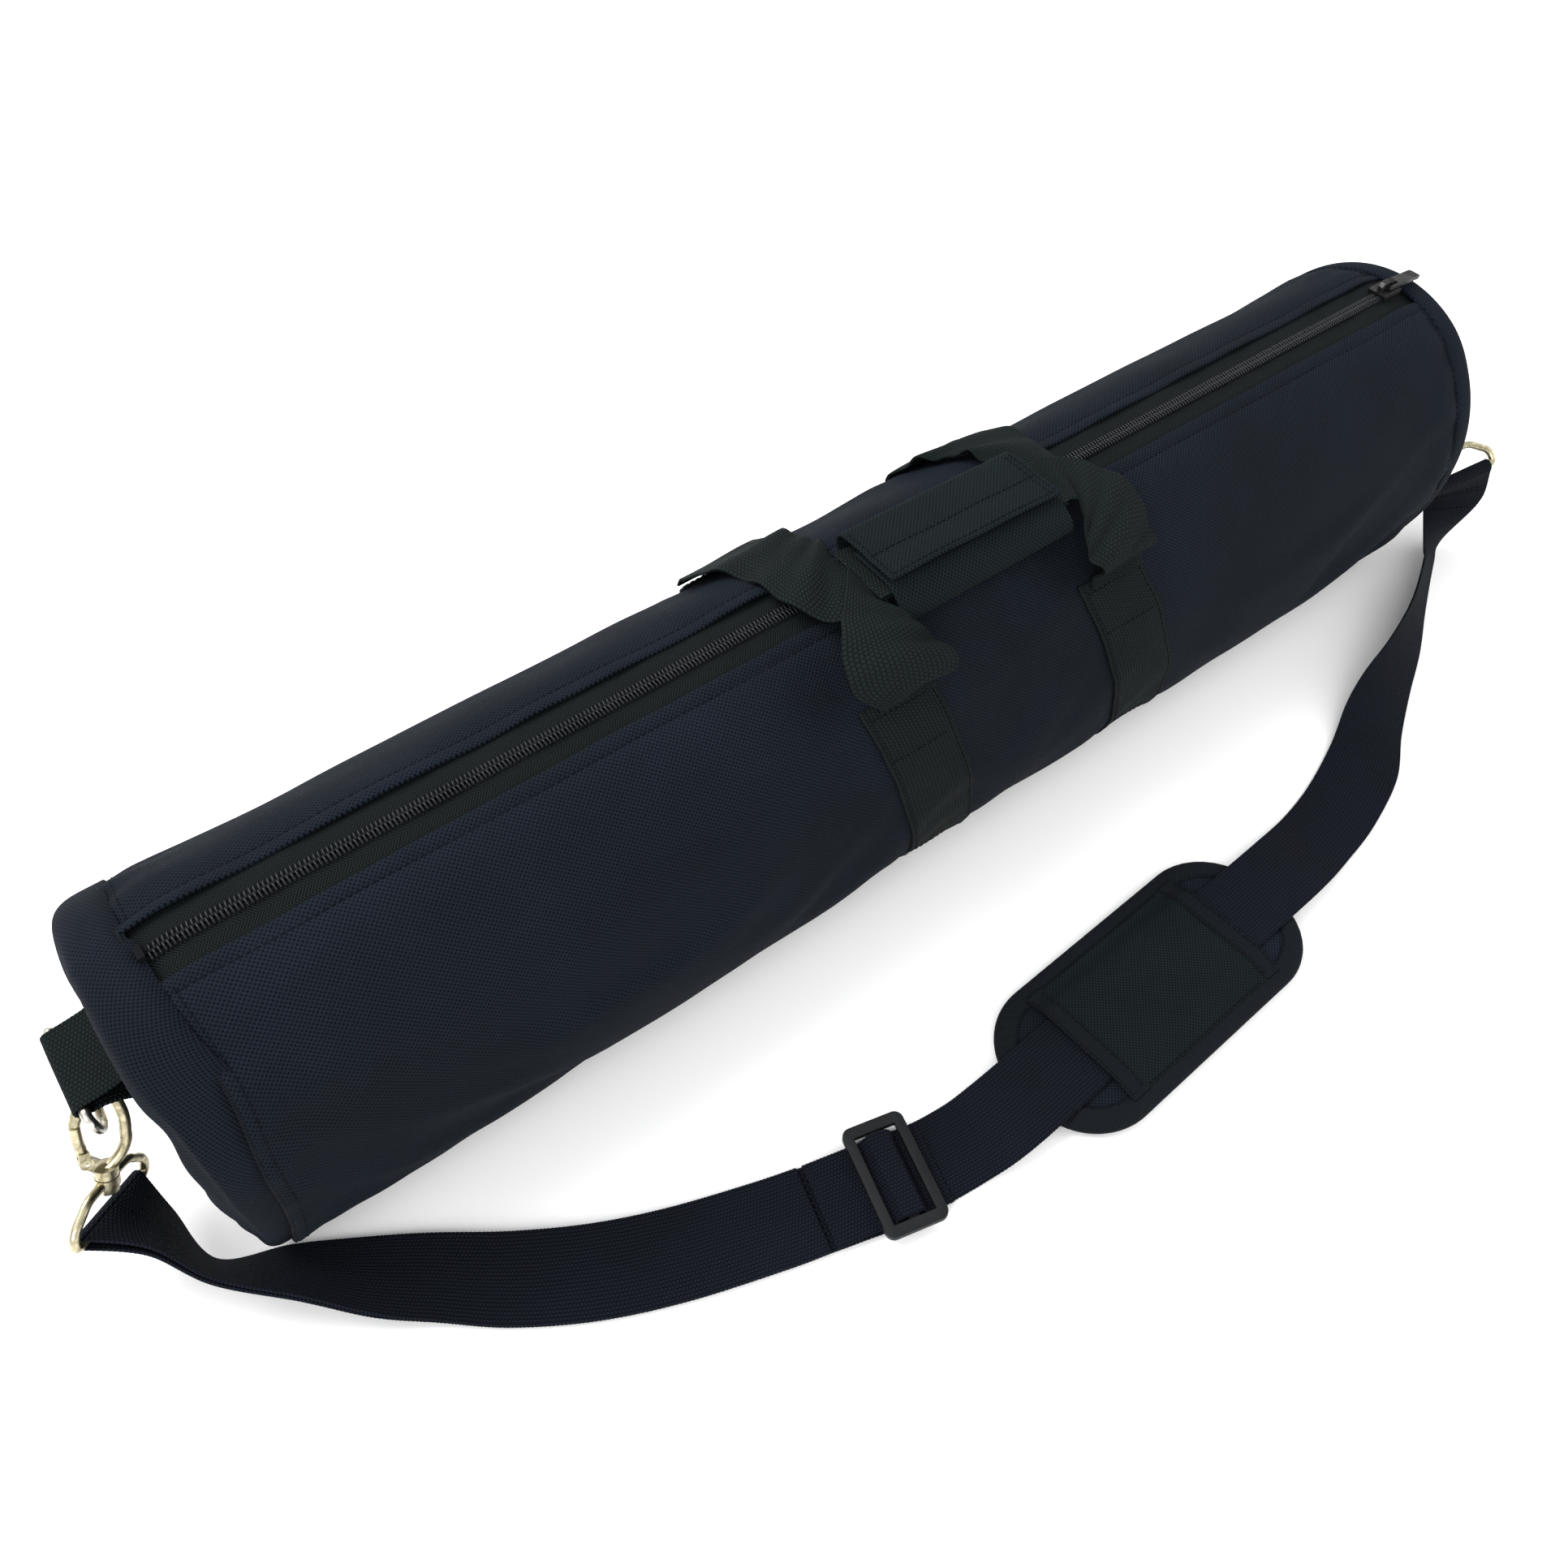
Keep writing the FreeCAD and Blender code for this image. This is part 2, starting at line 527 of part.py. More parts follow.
# the sewn-back end of the long run, lying against it below the bail
m = STEPS + 1
fold_spread = []
for k in range(m):
    f = k / (m - 1.0)
    fold_spread.append((BAR_LOOP + (TH + 0.25) * 0) * (-1) * f + (spread_r[n - m + k] * 0 - (TH + 0.25)) * (1 - f))
feature("strap_sewn_end", ribbon(ri[n - m:], ro[n - m:], TH, fold_spread))


def bend(name, m_point, wide, toward):
    """Half turn of webbing round the bar of a bail."""
    s = unit(toward - wide * wide.dot(toward))
    nor = unit(wide.cross(s))
    path = []
    path.append((-0.02, BAR_LOOP))
    path.append((-0.25, BAR_LOOP))
    for k in range(2, 15):
        a = math.pi * k / 16
        path.append((-math.sin(a) * BAR_LOOP, math.cos(a) * BAR_LOOP))
    path.append((-0.25, -BAR_LOOP))
    path.append((-0.02, -BAR_LOOP))
    body = new_body(name)
    sk = new_sketch(body, name + "_path", "XY_Plane")
    add_polygon(sk, strip_outline(path, TH))
    pad(body, sk, "Sizes.web_wide", midplane=True)
    body.Placement = frame_placement(m_point, s, nor, s.cross(nor))
    return keep(body, name)


bend("strap_left_bend", LEFT_M, LEFT_W, (li[1] + lo[1]) * 0.5 - LEFT_M)
bend("strap_right_bend", RIGHT_M, RIGHT_W, (ri[-2] + ro[-2]) * 0.5 - RIGHT_M)


# ---------------------------------------------------------------- buckle on the strap
BUCKLE_T = unit(V(0.968, -0.25, 0))
BUCKLE_C = V(-132.0, -173.5, 0)
BUCKLE_PL = frame_placement(BUCKLE_C, BUCKLE_T, V(-BUCKLE_T.y, BUCKLE_T.x, 0), V(0, 0, 1))
body = new_body("strap_buckle")
sk = new_sketch(body, "buckle_outline", "XY_Plane")
add_rectangle(sk, "outer", (0, 0), "Sizes.buckle_long", "Sizes.buckle_wide")
sk.AttachmentOffset = FreeCAD.Placement(V(0, 0, dim("buckle_base")), FreeCAD.Rotation())
pad(body, sk, "Sizes.buckle_thick")
fillet_edges(body, "Sizes.buckle_round", vertical)
sk = new_sketch(body, "buckle_slots", "XY_Plane")
slot_w = dim("buckle_long") / 2 - dim("buckle_bar") - 2.5
for sgn in (-1, 1):
    add_rectangle(sk, "slot_a" if sgn < 0 else "slot_b", (sgn * (2.5 + slot_w / 2), 0), "Sizes.buckle_long / 2 - Sizes.buckle_bar - 2.5", "Sizes.buckle_wide - Sizes.buckle_rail * 2")
pocket(body, sk, "40", midplane=True)
sk = new_sketch(body, "bar_relief", "XY_Plane")
add_rectangle(sk, "relief", (0, 0), "6", "Sizes.buckle_wide - Sizes.buckle_rail * 2")
sk.AttachmentOffset = FreeCAD.Placement(V(0, 0, dim("buckle_base") + dim("bar_thick")), FreeCAD.Rotation())
pocket(body, sk, "5", reverse=True)
body.Placement = BUCKLE_PL
keep(body, "strap_buckle")

zb = dim("buckle_base") + dim("bar_thick")
over = zb + 0.35 + TH / 2
tail_l = FLOOR2 + LAYER + TH + 0.25
tail_r = FLOOR1 + TH + 0.25
body = new_body("strap_buckle_turn")
sk = new_sketch(body, "turn_path", "XZ_Plane")
add_polygon(sk, strip_outline([(-34, tail_l), (-9.0, tail_l), (-7.2, tail_l + 0.7), (-4.6, over - 0.6), (-3.4, over), (3.4, over), (4.6, over - 0.6), (7.0, tail_r + 0.9), (9.0, tail_r), (19, tail_r)], TH))
pad(body, sk, "Sizes.web_wide", midplane=True)
body.Placement = BUCKLE_PL
keep(body, "strap_buckle_turn")

# ---------------------------------------------------------------- shoulder pad
PAD_PL = frame_placement(PAD_C, PAD_X, PAD_Y, V(0, 0, 1))


def pad_layer(name, inset, base, tall):
    body = new_body(name)
    sk = new_sketch(body, name + "_outline", "XY_Plane")
    add_rectangle(sk, "plan", (0, 0), "Sizes.pad_long - %g" % (2 * inset), "Sizes.pad_wide - %g" % (2 * inset))
    sk.AttachmentOffset = FreeCAD.Placement(V(0, 0, base), FreeCAD.Rotation())
    pad(body, sk, tall)
    fillet_edges(body, "Sizes.pad_round - %g" % inset, vertical)
    body.Placement = PAD_PL
    return body


inset = dim("pad_edge") + 0.05
b0 = dim("pad_base")
keep(pad_layer("pad_bottom_cover", inset, b0, "Sizes.pad_cover"), "pad_bottom_cover")
keep(pad_layer("pad_foam", inset, b0 + dim("pad_cover"), "Sizes.pad_foam_tall"), "pad_foam")
keep(pad_layer("pad_top_cover", inset, b0 + dim("pad_cover") + dim("pad_foam_tall"), "Sizes.pad_cover"), "pad_top_cover")
ring_body = pad_layer("pad_binding", 0.0, b0, "Sizes.pad_edge_tall")
sk = new_sketch(ring_body, "binding_inside", "XY_Plane")
import Sketcher
hx, hy, rr = dim("pad_long") / 2 - dim("pad_edge"), dim("pad_wide") / 2 - dim("pad_edge"), dim("pad_round") - dim("pad_edge")
corner = []
rc2 = rr / math.cos(math.radians(90 / 16.0)) + 0.02
for cx, cy, a0 in ((hx - rr, hy - rr, 0), (-hx + rr, hy - rr, 90), (-hx + rr, -hy + rr, 180), (hx - rr, -hy + rr, 270)):
    for k in range(9):
        a = math.radians(a0 + k * 90 / 8)
        corner.append((cx + rc2 * math.cos(a), cy + rc2 * math.sin(a)))
add_polygon(sk, corner)
pocket(ring_body, sk, "60", midplane=True)
keep(ring_body, "pad_binding")

body = new_body("pad_pocket_panel")
sk = new_sketch(body, "panel_section", "YZ_Plane")
ptop = b0 + dim("pad_cover") * 2 + dim("pad_foam_tall") + 0.05
pw, pu, pt, ps = dim("panel_wide") / 2, OVER_PAD + TH / 2 + 0.4, dim("panel_thick"), dim("panel_side")
add_polygon(sk, [(-pw, ptop), (-pw, pu + pt), (pw, pu + pt), (pw, ptop), (pw - ps, ptop), (pw - ps, pu), (-pw + ps, pu), (-pw + ps, ptop)])
pad(body, sk, "Sizes.panel_long", midplane=True)
body.Placement = PAD_PL
keep(body, "pad_pocket_panel")
for name, sgn in (("pad_band_left", -1), ("pad_band_right", 1)):
    body = new_body(name)
    sk = new_sketch(body, name + "_plan", "XY_Plane")
    add_rectangle(sk, "band", (sgn * (dim("panel_long") - dim("patch_wide")) / 2, 0), "Sizes.patch_wide", "Sizes.panel_wide")
    sk.AttachmentOffset = FreeCAD.Placement(V(0, 0, pu + pt + 0.05), FreeCAD.Rotation())
    pad(body, sk, "Sizes.patch_thick")
    body.Placement = PAD_PL
    keep(body, name)

# ---------------------------------------------------------------- grip over the handles
GRIP_A = -0.10
GRIP_O = V(dim("grip_place_x"), dim("grip_place_y"), dim("grip_lift"))
GX = V(math.cos(GRIP_A), math.sin(GRIP_A), 0)
GY = V(-math.sin(GRIP_A), math.cos(GRIP_A), 0)
GRIP_PL = frame_placement(GRIP_O, GX, GY, V(0, 0, 1))
wrap_path = [(9, 11.2), (-9, 11.2), (-18.0, 10.4), (-20.2, 7.5), (-19.5, 3.4), (-16, 1.4), (16, 1.4), (20.0, 3.6), (21.5, 8.0), (20.3, 12.8), (17.0, 15.4), (-15.0, 15.6)]
body = new_body("grip_wrap")
sk = new_sketch(body, "wrap_section", "YZ_Plane")
add_polygon(sk, strip_outline(wrap_path, dim("grip_wall")))
pad(body, sk, "Sizes.grip_long", midplane=True)
body.Placement = GRIP_PL
keep(body, "grip_wrap")
for name, base in (("grip_loop_strip", 12.1), ("grip_hook_strip", 13.2)):
    b = doc.addObject("Part::Box", name)
    b.setExpression("Length", "Sizes.grip_long - 4")
    b.setExpression("Width", "Sizes.closure_wide")
    b.setExpression("Height", "Sizes.closure_thick")
    b.Placement = GRIP_PL.multiply(FreeCAD.Placement(V(-(dim("grip_long") - 4) / 2, -dim("closure_wide") / 2, base), FreeCAD.Rotation()))
    keep(b, name)
for name, base in (("handle_run_front", 3.2), ("handle_run_back", 6.2)):
    b = doc.addObject("Part::Box", name)
    b.setExpression("Length", "Sizes.run_long")
    b.setExpression("Width", "Sizes.run_wide - 4")
    b.setExpression("Height", "Sizes.web_thick")
    b.Placement = GRIP_PL.multiply(FreeCAD.Placement(V(-dim("run_long") / 2, -(dim("run_wide") - 4) / 2, base), FreeCAD.Rotation()))
    keep(b, name)


def grip_point(x, y, z):
    return GRIP_O + GX * x + GY * y + V(0, 0, z)


RH = (dim("run_wide") - 4) / 2
END = dim("run_long") / 2 + 0.5
ZF, ZB = 3.2 + TH / 2, 6.2 + TH / 2
legs = {
    # edge A then edge B, from the sewn band up to the grip
    "handle_leg_front_left": (
        [V(-60, -57.6, 135.6), V(-62, -68, 147), V(-66, -70, 158), V(-66, -48, 166), V(-58, -22, 168), grip_point(-END, -RH, ZF)],
        [V(-22, -57.6, 135.6), V(-26, -70, 149), V(-34, -72, 162), V(-48, -36, 174), V(-50, 2, 173.6), grip_point(-END, RH, ZF)]),
    "handle_leg_front_right": (
        [V(101, -57.6, 135.6), V(104, -68, 147), V(106, -66, 158), V(104, -44, 166), V(93, -28, 170), grip_point(END, -RH, ZF)],
        [V(63, -57.6, 135.6), V(67, -70, 149), V(74, -68, 162), V(86, -30, 173), V(86, 2, 173), grip_point(END, RH, ZF)]),
    "handle_leg_back_left": (
        [V(-76, 57.6, 135.6), V(-79, 60, 146), V(-84, 48, 161), V(-84, 26, 172), V(-70, -8, 181), grip_point(-END, -RH, ZB)],
        [V(-38, 57.6, 135.6), V(-40, 62, 147), V(-46, 56, 162), V(-52, 40, 172), V(-52, 20, 180), grip_point(-END, RH, ZB)]),
    "handle_leg_back_right": (
        [V(81, 57.6, 135.6), V(84, 60, 146), V(90, 48, 161), V(96, 26, 172), V(90, -12, 181), grip_point(END, -RH, ZB)],
        [V(43, 57.6, 135.6), V(46, 62, 147), V(54, 56, 162), V(66, 38, 173), V(78, 16, 180), grip_point(END, RH, ZB)]),
}
for name, (ea, eb) in legs.items():
    feature(name, ribbon(smooth(ea, 3), smooth(eb, 3), TH))


# ---------------------------------------------------------------- end tabs, rings, hooks
def pipe(points, radius, closed=False, arcs=None):
    """Round wire along straight runs joined by tangent arcs."""
    edges = []
    n = len(points)
    idx = range(n) if closed else range(1, n - 1)
    cuts = {}
    for i in idx:
        p, a, b = points[i], points[(i - 1) % n], points[(i + 1) % n]
        da, db = unit(a - p), unit(b - p)
        half = math.acos(max(-1.0, min(1.0, da.dot(db)))) / 2
        la, lb = (a - p).Length, (b - p).Length
        cut = min((arcs[i] if arcs else 99.0) / math.tan(half), 0.46 * min(la, lb))
        r = cut * math.tan(half)
        bis = unit(da + db)
        cen = p + bis * (r / math.sin(half))
        mid = cen - bis * r
        cuts[i] = (p + da * cut, mid, p + db * cut)
    cur = cuts[0][2] if closed else points[0]
    order = list(range(1, n)) + ([0] if closed else [])
    for i in order:
        if i in cuts:
            s, mid, e = cuts[i]
            edges.append(Part.LineSegment(cur, s).toShape())
            edges.append(Part.Arc(s, mid, e).toShape())
            cur = e
        else:
            edges.append(Part.LineSegment(cur, points[i]).toShape())
            cur = points[i]
    wire = Part.Wire(edges)
    e0 = edges[0]
    start = e0.Vertexes[0].Point
    tangent = unit(e0.Vertexes[-1].Point - start)
    ring = Part.Wire([Part.makeCircle(radius, start, tangent)])
    solid = wire.makePipeShell([ring], True, False)
    if solid.Volume < 0:
        solid.reverse()
    return solid


def ring_shape():
    r = dim("ring_half")
    pts = [V(0, -r, 0), V(0, r, 0), V(0, r, -3)]
    for k in range(1, 12):
        a = math.pi * k / 12
        pts.append(V(0, r * math.cos(a), -3 - r * math.sin(a)))
    pts.append(V(0, -r, -3))
    edges = []
    c = dim("ring_corner")
    q = c * (1 - math.sqrt(0.5))
    edges.append(Part.LineSegment(V(0, -r + c, 0), V(0, r - c, 0)).toShape())
    edges.append(Part.Arc(V(0, r - c, 0), V(0, r - q, -q), V(0, r, -c)).toShape())
    edges.append(Part.Arc(V(0, r, -c), V(0, 0, -c - r), V(0, -r, -c)).toShape())
    edges.append(Part.Arc(V(0, -r, -c), V(0, -r + q, -q), V(0, -r + c, 0)).toShape())
    wire = Part.Wire(edges)
    circle = Part.Wire([Part.makeCircle(dim("ring_wire"), V(0, -r + c, 0), V(0, 1, 0))])
    return wire.makePipeShell([circle], True, False)


def bail_shape():
    h = dim("bail_half")
    t = dim("bail_tall")
    w = dim("bail_wire")
    path = [V(3.6, 0, t), V(12.5, 0, t - 0.6), V(h, 0, 7.5), V(h, 0, 0), V(-h, 0, 0), V(-h, 0, 7.5), V(-12.5, 0, t - 0.6), V(-3.6, 0, t)]
    wire = pipe(path, w, arcs={1: 7.0, 2: 7.0, 3: 3.0, 4: 3.0, 5: 7.0, 6: 7.0})
    bt = dim("boss_tall")
    boss = Part.makeCylinder(dim("boss_outer"), bt, V(0, 0, t - bt / 2))
    bore = Part.makeCylinder(dim("boss_bore"), bt + 8, V(0, 0, t - bt / 2 - 4))
    s = wire.fuse(boss).cut(bore)
    return sorted(s.Solids, key=lambda q: -q.Volume)[0]


PIVOT = (6.6, 28.5)


def hook_shape():
    t, bt = dim("bail_tall"), dim("boss_tall")
    head_top = t - bt / 2 - 0.35
    head = Part.makeCylinder(dim("head_wide"), dim("head_tall"), V(0, 0, head_top - dim("head_tall")))
    collar_base = t + bt / 2 + 0.35
    stem = Part.makeCylinder(dim("stem_wire"), collar_base - head_top + 2, V(0, 0, head_top - 1))
    collar = Part.makeCylinder(dim("collar_wide"), dim("collar_tall"), V(0, 0, collar_base))
    h, top, w = dim("hook_half"), dim("hook_top"), dim("hook_wire")
    cz = collar_base + dim("collar_tall")
    arm = pipe([V(-0.5, 0, cz - 1.5), V(-5.5, 0, cz + 2.5), V(-h, 0, 31), V(-h - 0.3, 0, 44), V(-h + 2.2, 0, top - 3.5), V(0, 0, top + 0.6), V(h - 2.2, 0, top - 3.5), V(h + 0.1, 0, 47.4)], w)
    lug = Part.makeCylinder(2.6, 2.0, V(PIVOT[0], -1.0, PIVOT[1]), V(0, 1, 0))
    arm2 = Part.Face(Part.makePolygon([V(0, -1.0, cz - 2.0), V(4.2, -1.0, cz - 1.2), V(PIVOT[0] + 2.4, -1.0, PIVOT[1] - 1.0), V(PIVOT[0] - 2.2, -1.0, PIVOT[1] + 1.2), V(-1.0, -1.0, cz + 1.0), V(0, -1.0, cz - 2.0)])).extrude(V(0, 2.0, 0))
    s = head.fuse([stem, collar, arm, lug, arm2])
    s = s.cut(Part.makeCylinder(dim("gate_pin"), 8, V(PIVOT[0], -4, PIVOT[1]), V(0, 1, 0)))
    return sorted(s.Solids, key=lambda q: -q.Volume)[0]


def gate_shape():
    w = dim("gate_wire")
    h = dim("hook_half")
    ears = None
    for y in (-2.6, 1.15):
        e = Part.makeCylinder(2.5, 1.45, V(PIVOT[0], y, PIVOT[1]), V(0, 1, 0))
        link = box(PIVOT[0] - 1.4, PIVOT[0] + 2.4, y, y + 1.45, PIVOT[1], PIVOT[1] + 5.6)
        ears = e.fuse(link) if ears is None else ears.fuse([e, link])
    rod = pipe([V(PIVOT[0] + 0.5, 0, PIVOT[1] + 3.9), V(h - 0.3, 0, 38), V(h + 0.15, 0, 46.2)], w)
    s = ears.fuse(rod)
    s = s.cut(Part.makeCylinder(dim("gate_pin") + 0.05, 8, V(PIVOT[0], -4, PIVOT[1]), V(0, 1, 0)))
    return sorted(s.Solids, key=lambda q: -q.Volume)[0]


def hook_frame(u, wire_dir):
    """Hook plane holds the chain direction; its normal is as near the ring's wire as it can be."""
    y = unit(wire_dir - u * u.dot(wire_dir))
    x = y.cross(u)
    return x, y


ENDS = {
    "left": (LEFT_M, LEFT_W, LEFT_U, LEFT_T, V(0, 1, 0), -1),
    "right": (RIGHT_M, RIGHT_W, RIGHT_U, RIGHT_T, V(0, 0.707, -0.707), 1),
}
for side, (m_pt, w_dir, u_dir, t_pt, ring_dir, sgn) in ENDS.items():
    # tab: webbing loop sewn to the end panel, ring bar lying in its fold
    face = dim("bag_length") / 2 + 0.12
    tw = TH / 2
    ax = abs(t_pt.x)
    lr = dim("ring_wire") + 0.35 + tw
    path = [(face + tw, 46.0), (face + tw, 84.0), (face + tw + 1.6, 89.5), (face + tw + 6.0, 95.6), (ax - 7.0, t_pt.z - lr - 0.6), (ax - 1.0, t_pt.z - lr), (ax + lr * 0.72, t_pt.z - lr * 0.72), (ax + lr, t_pt.z), (ax + lr * 0.72, t_pt.z + lr * 0.72), (ax - 1.0, t_pt.z + lr), (ax - 8.0, t_pt.z + 3.6), (face + tw + 5.5, t_pt.z + 4.8), (face + tw + 1.9, t_pt.z + 7.5), (face + tw + 0.0, t_pt.z + 12.5), (face + tw, t_pt.z + 24.0)]
    path = [(sgn * x, z) for x, z in path]
    body = new_body("%s_tab" % side)
    sk = new_sketch(body, "%s_tab_path" % side, "XZ_Plane")
    add_polygon(sk, strip_outline(path, TH))
    pad(body, sk, "Sizes.tab_wide - 1", midplane=True)
    body.Placement = FreeCAD.Placement(V(0, t_pt.y, 0), FreeCAD.Rotation())
    keep(body, "%s_tab" % side)
    f = feature("%s_ring" % side, ring_shape())
    f.Placement = FreeCAD.Placement(t_pt, FreeCAD.Rotation())
    v_dir = w_dir.cross(u_dir)
    f = feature("%s_bail" % side, bail_shape())
    f.Placement = frame_placement(m_pt, w_dir, u_dir.cross(w_dir), u_dir)
    hx_dir, hy_dir = hook_frame(u_dir, ring_dir)
    if side == "left":
        hx_dir, hy_dir = hx_dir * -1, hy_dir * -1
    hp = frame_placement(m_pt, hx_dir, hy_dir, u_dir)
    f = feature("%s_hook" % side, hook_shape())
    f.Placement = hp
    f = feature("%s_gate" % side, gate_shape())
    f.Placement = hp
    body = doc.addObject("Part::Cylinder", "%s_gate_pin" % side)
    body.setExpression("Radius", "Sizes.gate_pin - 0.01")
    body.Height = 5.6
    body.Placement = hp.multiply(FreeCAD.Placement(V(PIVOT[0], -2.8, PIVOT[1]), FreeCAD.Rotation(V(1, 0, 0), -90)))
    keep(body, "%s_gate_pin" % side)
    print(side, "gate pivot", hp.multVec(V(PIVOT[0], 0, PIVOT[1])), "axis", hy_dir, "hook x", hx_dir)

# ---------------------------------------------------------------- check and write
doc.recompute()
bad = []
for obj in doc.Objects:
    if any(s in ("Invalid", "Error") for s in obj.State):
        bad.append((obj.Name, obj.State))
if bad:
    raise RuntimeError("objects failed: %s" % bad)
os.makedirs("parts", exist_ok=True)
for name, obj in PARTS:
    shape = obj.Shape
    if shape.isNull() or not shape.isValid() or len(shape.Solids) != 1 or shape.Volume <= 0:
        raise RuntimeError("bad shape %s null=%s valid=%s solids=%d vol=%g" % (name, shape.isNull(), shape.isValid(), len(shape.Solids), shape.Volume))
for name, obj in PARTS:
    obj.Shape.exportStep("parts/%s.step" % name)
    bb = obj.Shape.BoundBox
    print("%-26s vol %10.1f  x %7.1f %7.1f y %7.1f %7.1f z %7.1f %7.1f" % (name, obj.Shape.Volume, bb.XMin, bb.XMax, bb.YMin, bb.YMax, bb.ZMin, bb.ZMax))
print(len(PARTS), "nodes")
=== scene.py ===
import json
import math

import bpy
import numpy as np
from mathutils import Matrix, Vector

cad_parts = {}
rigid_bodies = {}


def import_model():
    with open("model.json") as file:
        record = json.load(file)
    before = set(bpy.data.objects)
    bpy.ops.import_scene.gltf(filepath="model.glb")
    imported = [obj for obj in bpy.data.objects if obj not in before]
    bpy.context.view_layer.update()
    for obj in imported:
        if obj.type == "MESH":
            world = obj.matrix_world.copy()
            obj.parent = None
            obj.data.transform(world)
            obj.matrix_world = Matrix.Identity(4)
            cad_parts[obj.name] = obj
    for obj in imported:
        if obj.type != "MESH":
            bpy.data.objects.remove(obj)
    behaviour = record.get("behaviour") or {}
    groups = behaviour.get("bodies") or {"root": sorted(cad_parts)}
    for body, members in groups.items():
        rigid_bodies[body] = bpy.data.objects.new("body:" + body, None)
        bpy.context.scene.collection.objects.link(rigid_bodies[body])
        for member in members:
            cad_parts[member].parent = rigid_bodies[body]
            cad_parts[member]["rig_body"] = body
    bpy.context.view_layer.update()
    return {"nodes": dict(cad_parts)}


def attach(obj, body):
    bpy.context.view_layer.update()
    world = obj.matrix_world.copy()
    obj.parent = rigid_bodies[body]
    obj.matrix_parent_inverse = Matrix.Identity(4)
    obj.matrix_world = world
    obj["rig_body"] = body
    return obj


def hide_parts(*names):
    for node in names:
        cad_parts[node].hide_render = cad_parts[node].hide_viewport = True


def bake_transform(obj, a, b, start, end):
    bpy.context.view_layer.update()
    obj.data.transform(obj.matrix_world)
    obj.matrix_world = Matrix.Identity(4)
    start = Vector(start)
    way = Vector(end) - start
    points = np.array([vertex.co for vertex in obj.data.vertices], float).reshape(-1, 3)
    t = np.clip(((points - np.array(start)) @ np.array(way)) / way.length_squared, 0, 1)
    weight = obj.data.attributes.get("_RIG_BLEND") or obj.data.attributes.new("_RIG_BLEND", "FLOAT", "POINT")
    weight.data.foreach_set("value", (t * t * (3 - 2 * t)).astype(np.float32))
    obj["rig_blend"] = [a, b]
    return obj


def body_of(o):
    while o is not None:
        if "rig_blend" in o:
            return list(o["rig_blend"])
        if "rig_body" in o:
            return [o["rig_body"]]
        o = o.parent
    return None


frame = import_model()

MM = 0.001
scene = bpy.context.scene

# ------------------------------------------------------------------ camera
cam_data = bpy.data.cameras.new("view_camera")
cam = bpy.data.objects.new("view_camera", cam_data)
scene.collection.objects.link(cam)
right, up, fwd = Vector((0.79973, -0.60036, 0.0)), Vector((0.47282, 0.62984, 0.61623)), Vector((0.36996, 0.49282, -0.78757))
rot = Matrix((right, up, -fwd)).transposed()
cam.matrix_world = Matrix.Translation(Vector((-0.29645, -0.31613, 0.54224))) @ rot.to_4x4()
cam_data.sensor_width = 36.0
cam_data.lens = 36.0 * 1636.7 / 1932.0
cam_data.clip_start = 0.02
cam_data.clip_end = 30.0
scene.camera = cam


# ------------------------------------------------------------------ small maths
def unit(a):
    return a / np.maximum(np.linalg.norm(a, axis=-1, keepdims=True), 1e-12)


def smooth(points, steps):
    """Catmull-Rom points through the stations."""
    p = np.array(points, float)
    n = len(p)
    out = []
    for i in range(n - 1):
        p0, p1, p2, p3 = p[max(i - 1, 0)], p[i], p[i + 1], p[min(i + 2, n - 1)]
        for k in range(steps):
            t = k / steps
            out.append(0.5 * (2 * p1 + (p2 - p0) * t + (2 * p0 - 5 * p1 + 4 * p2 - p3) * t * t + (3 * p1 - p0 - 3 * p2 + p3) * t ** 3))
    out.append(p[-1])
    return np.array(out)


def along(line):
    return np.concatenate([[0], np.cumsum(np.linalg.norm(np.diff(line, axis=0), axis=1))])


def respace(line, step):
    s = along(line)
    n = max(2, int(math.ceil(s[-1] / step)) + 1)
    at = np.linspace(0, s[-1], n)
    return np.stack([np.interp(at, s, line[:, k]) for k in range(line.shape[1])], axis=1)


def respace_pair(a, b, step):
    """Two edge lines resampled together at even steps of their middle line."""
    c = (a + b) / 2
    s = along(c)
    n = max(2, int(math.ceil(s[-1] / step)) + 1)
    at = np.linspace(0, s[-1], n)
    f = lambda q: np.stack([np.interp(at, s, q[:, k]) for k in range(3)], axis=1)
    return f(a), f(b)


def step01(x, lo, hi):
    t = np.clip((np.asarray(x, float) - lo) / (hi - lo), 0, 1)
    return t * t * (3 - 2 * t)


def bump1(x, centre, width):
    return np.exp(-((np.asarray(x, float) - centre) / width) ** 2)


def waves(u, v, seed, count, lu, lv):
    """Smooth seeded wrinkle field from a few plane waves; lu, lv are (shortest, longest) lengths in mm."""
    r = np.random.default_rng(seed)
    total = np.zeros(np.broadcast(u, v).shape)
    for _ in range(count):
        wu = 2 * math.pi / math.exp(r.uniform(math.log(lu[0]), math.log(lu[1]))) * (1 if r.random() < 0.5 else -1)
        wv = 2 * math.pi / math.exp(r.uniform(math.log(lv[0]), math.log(lv[1])))
        total = total + r.uniform(0.5, 1.0) * np.sin(wu * u + wv * v + r.uniform(0, 2 * math.pi))
    return total / math.sqrt(count)


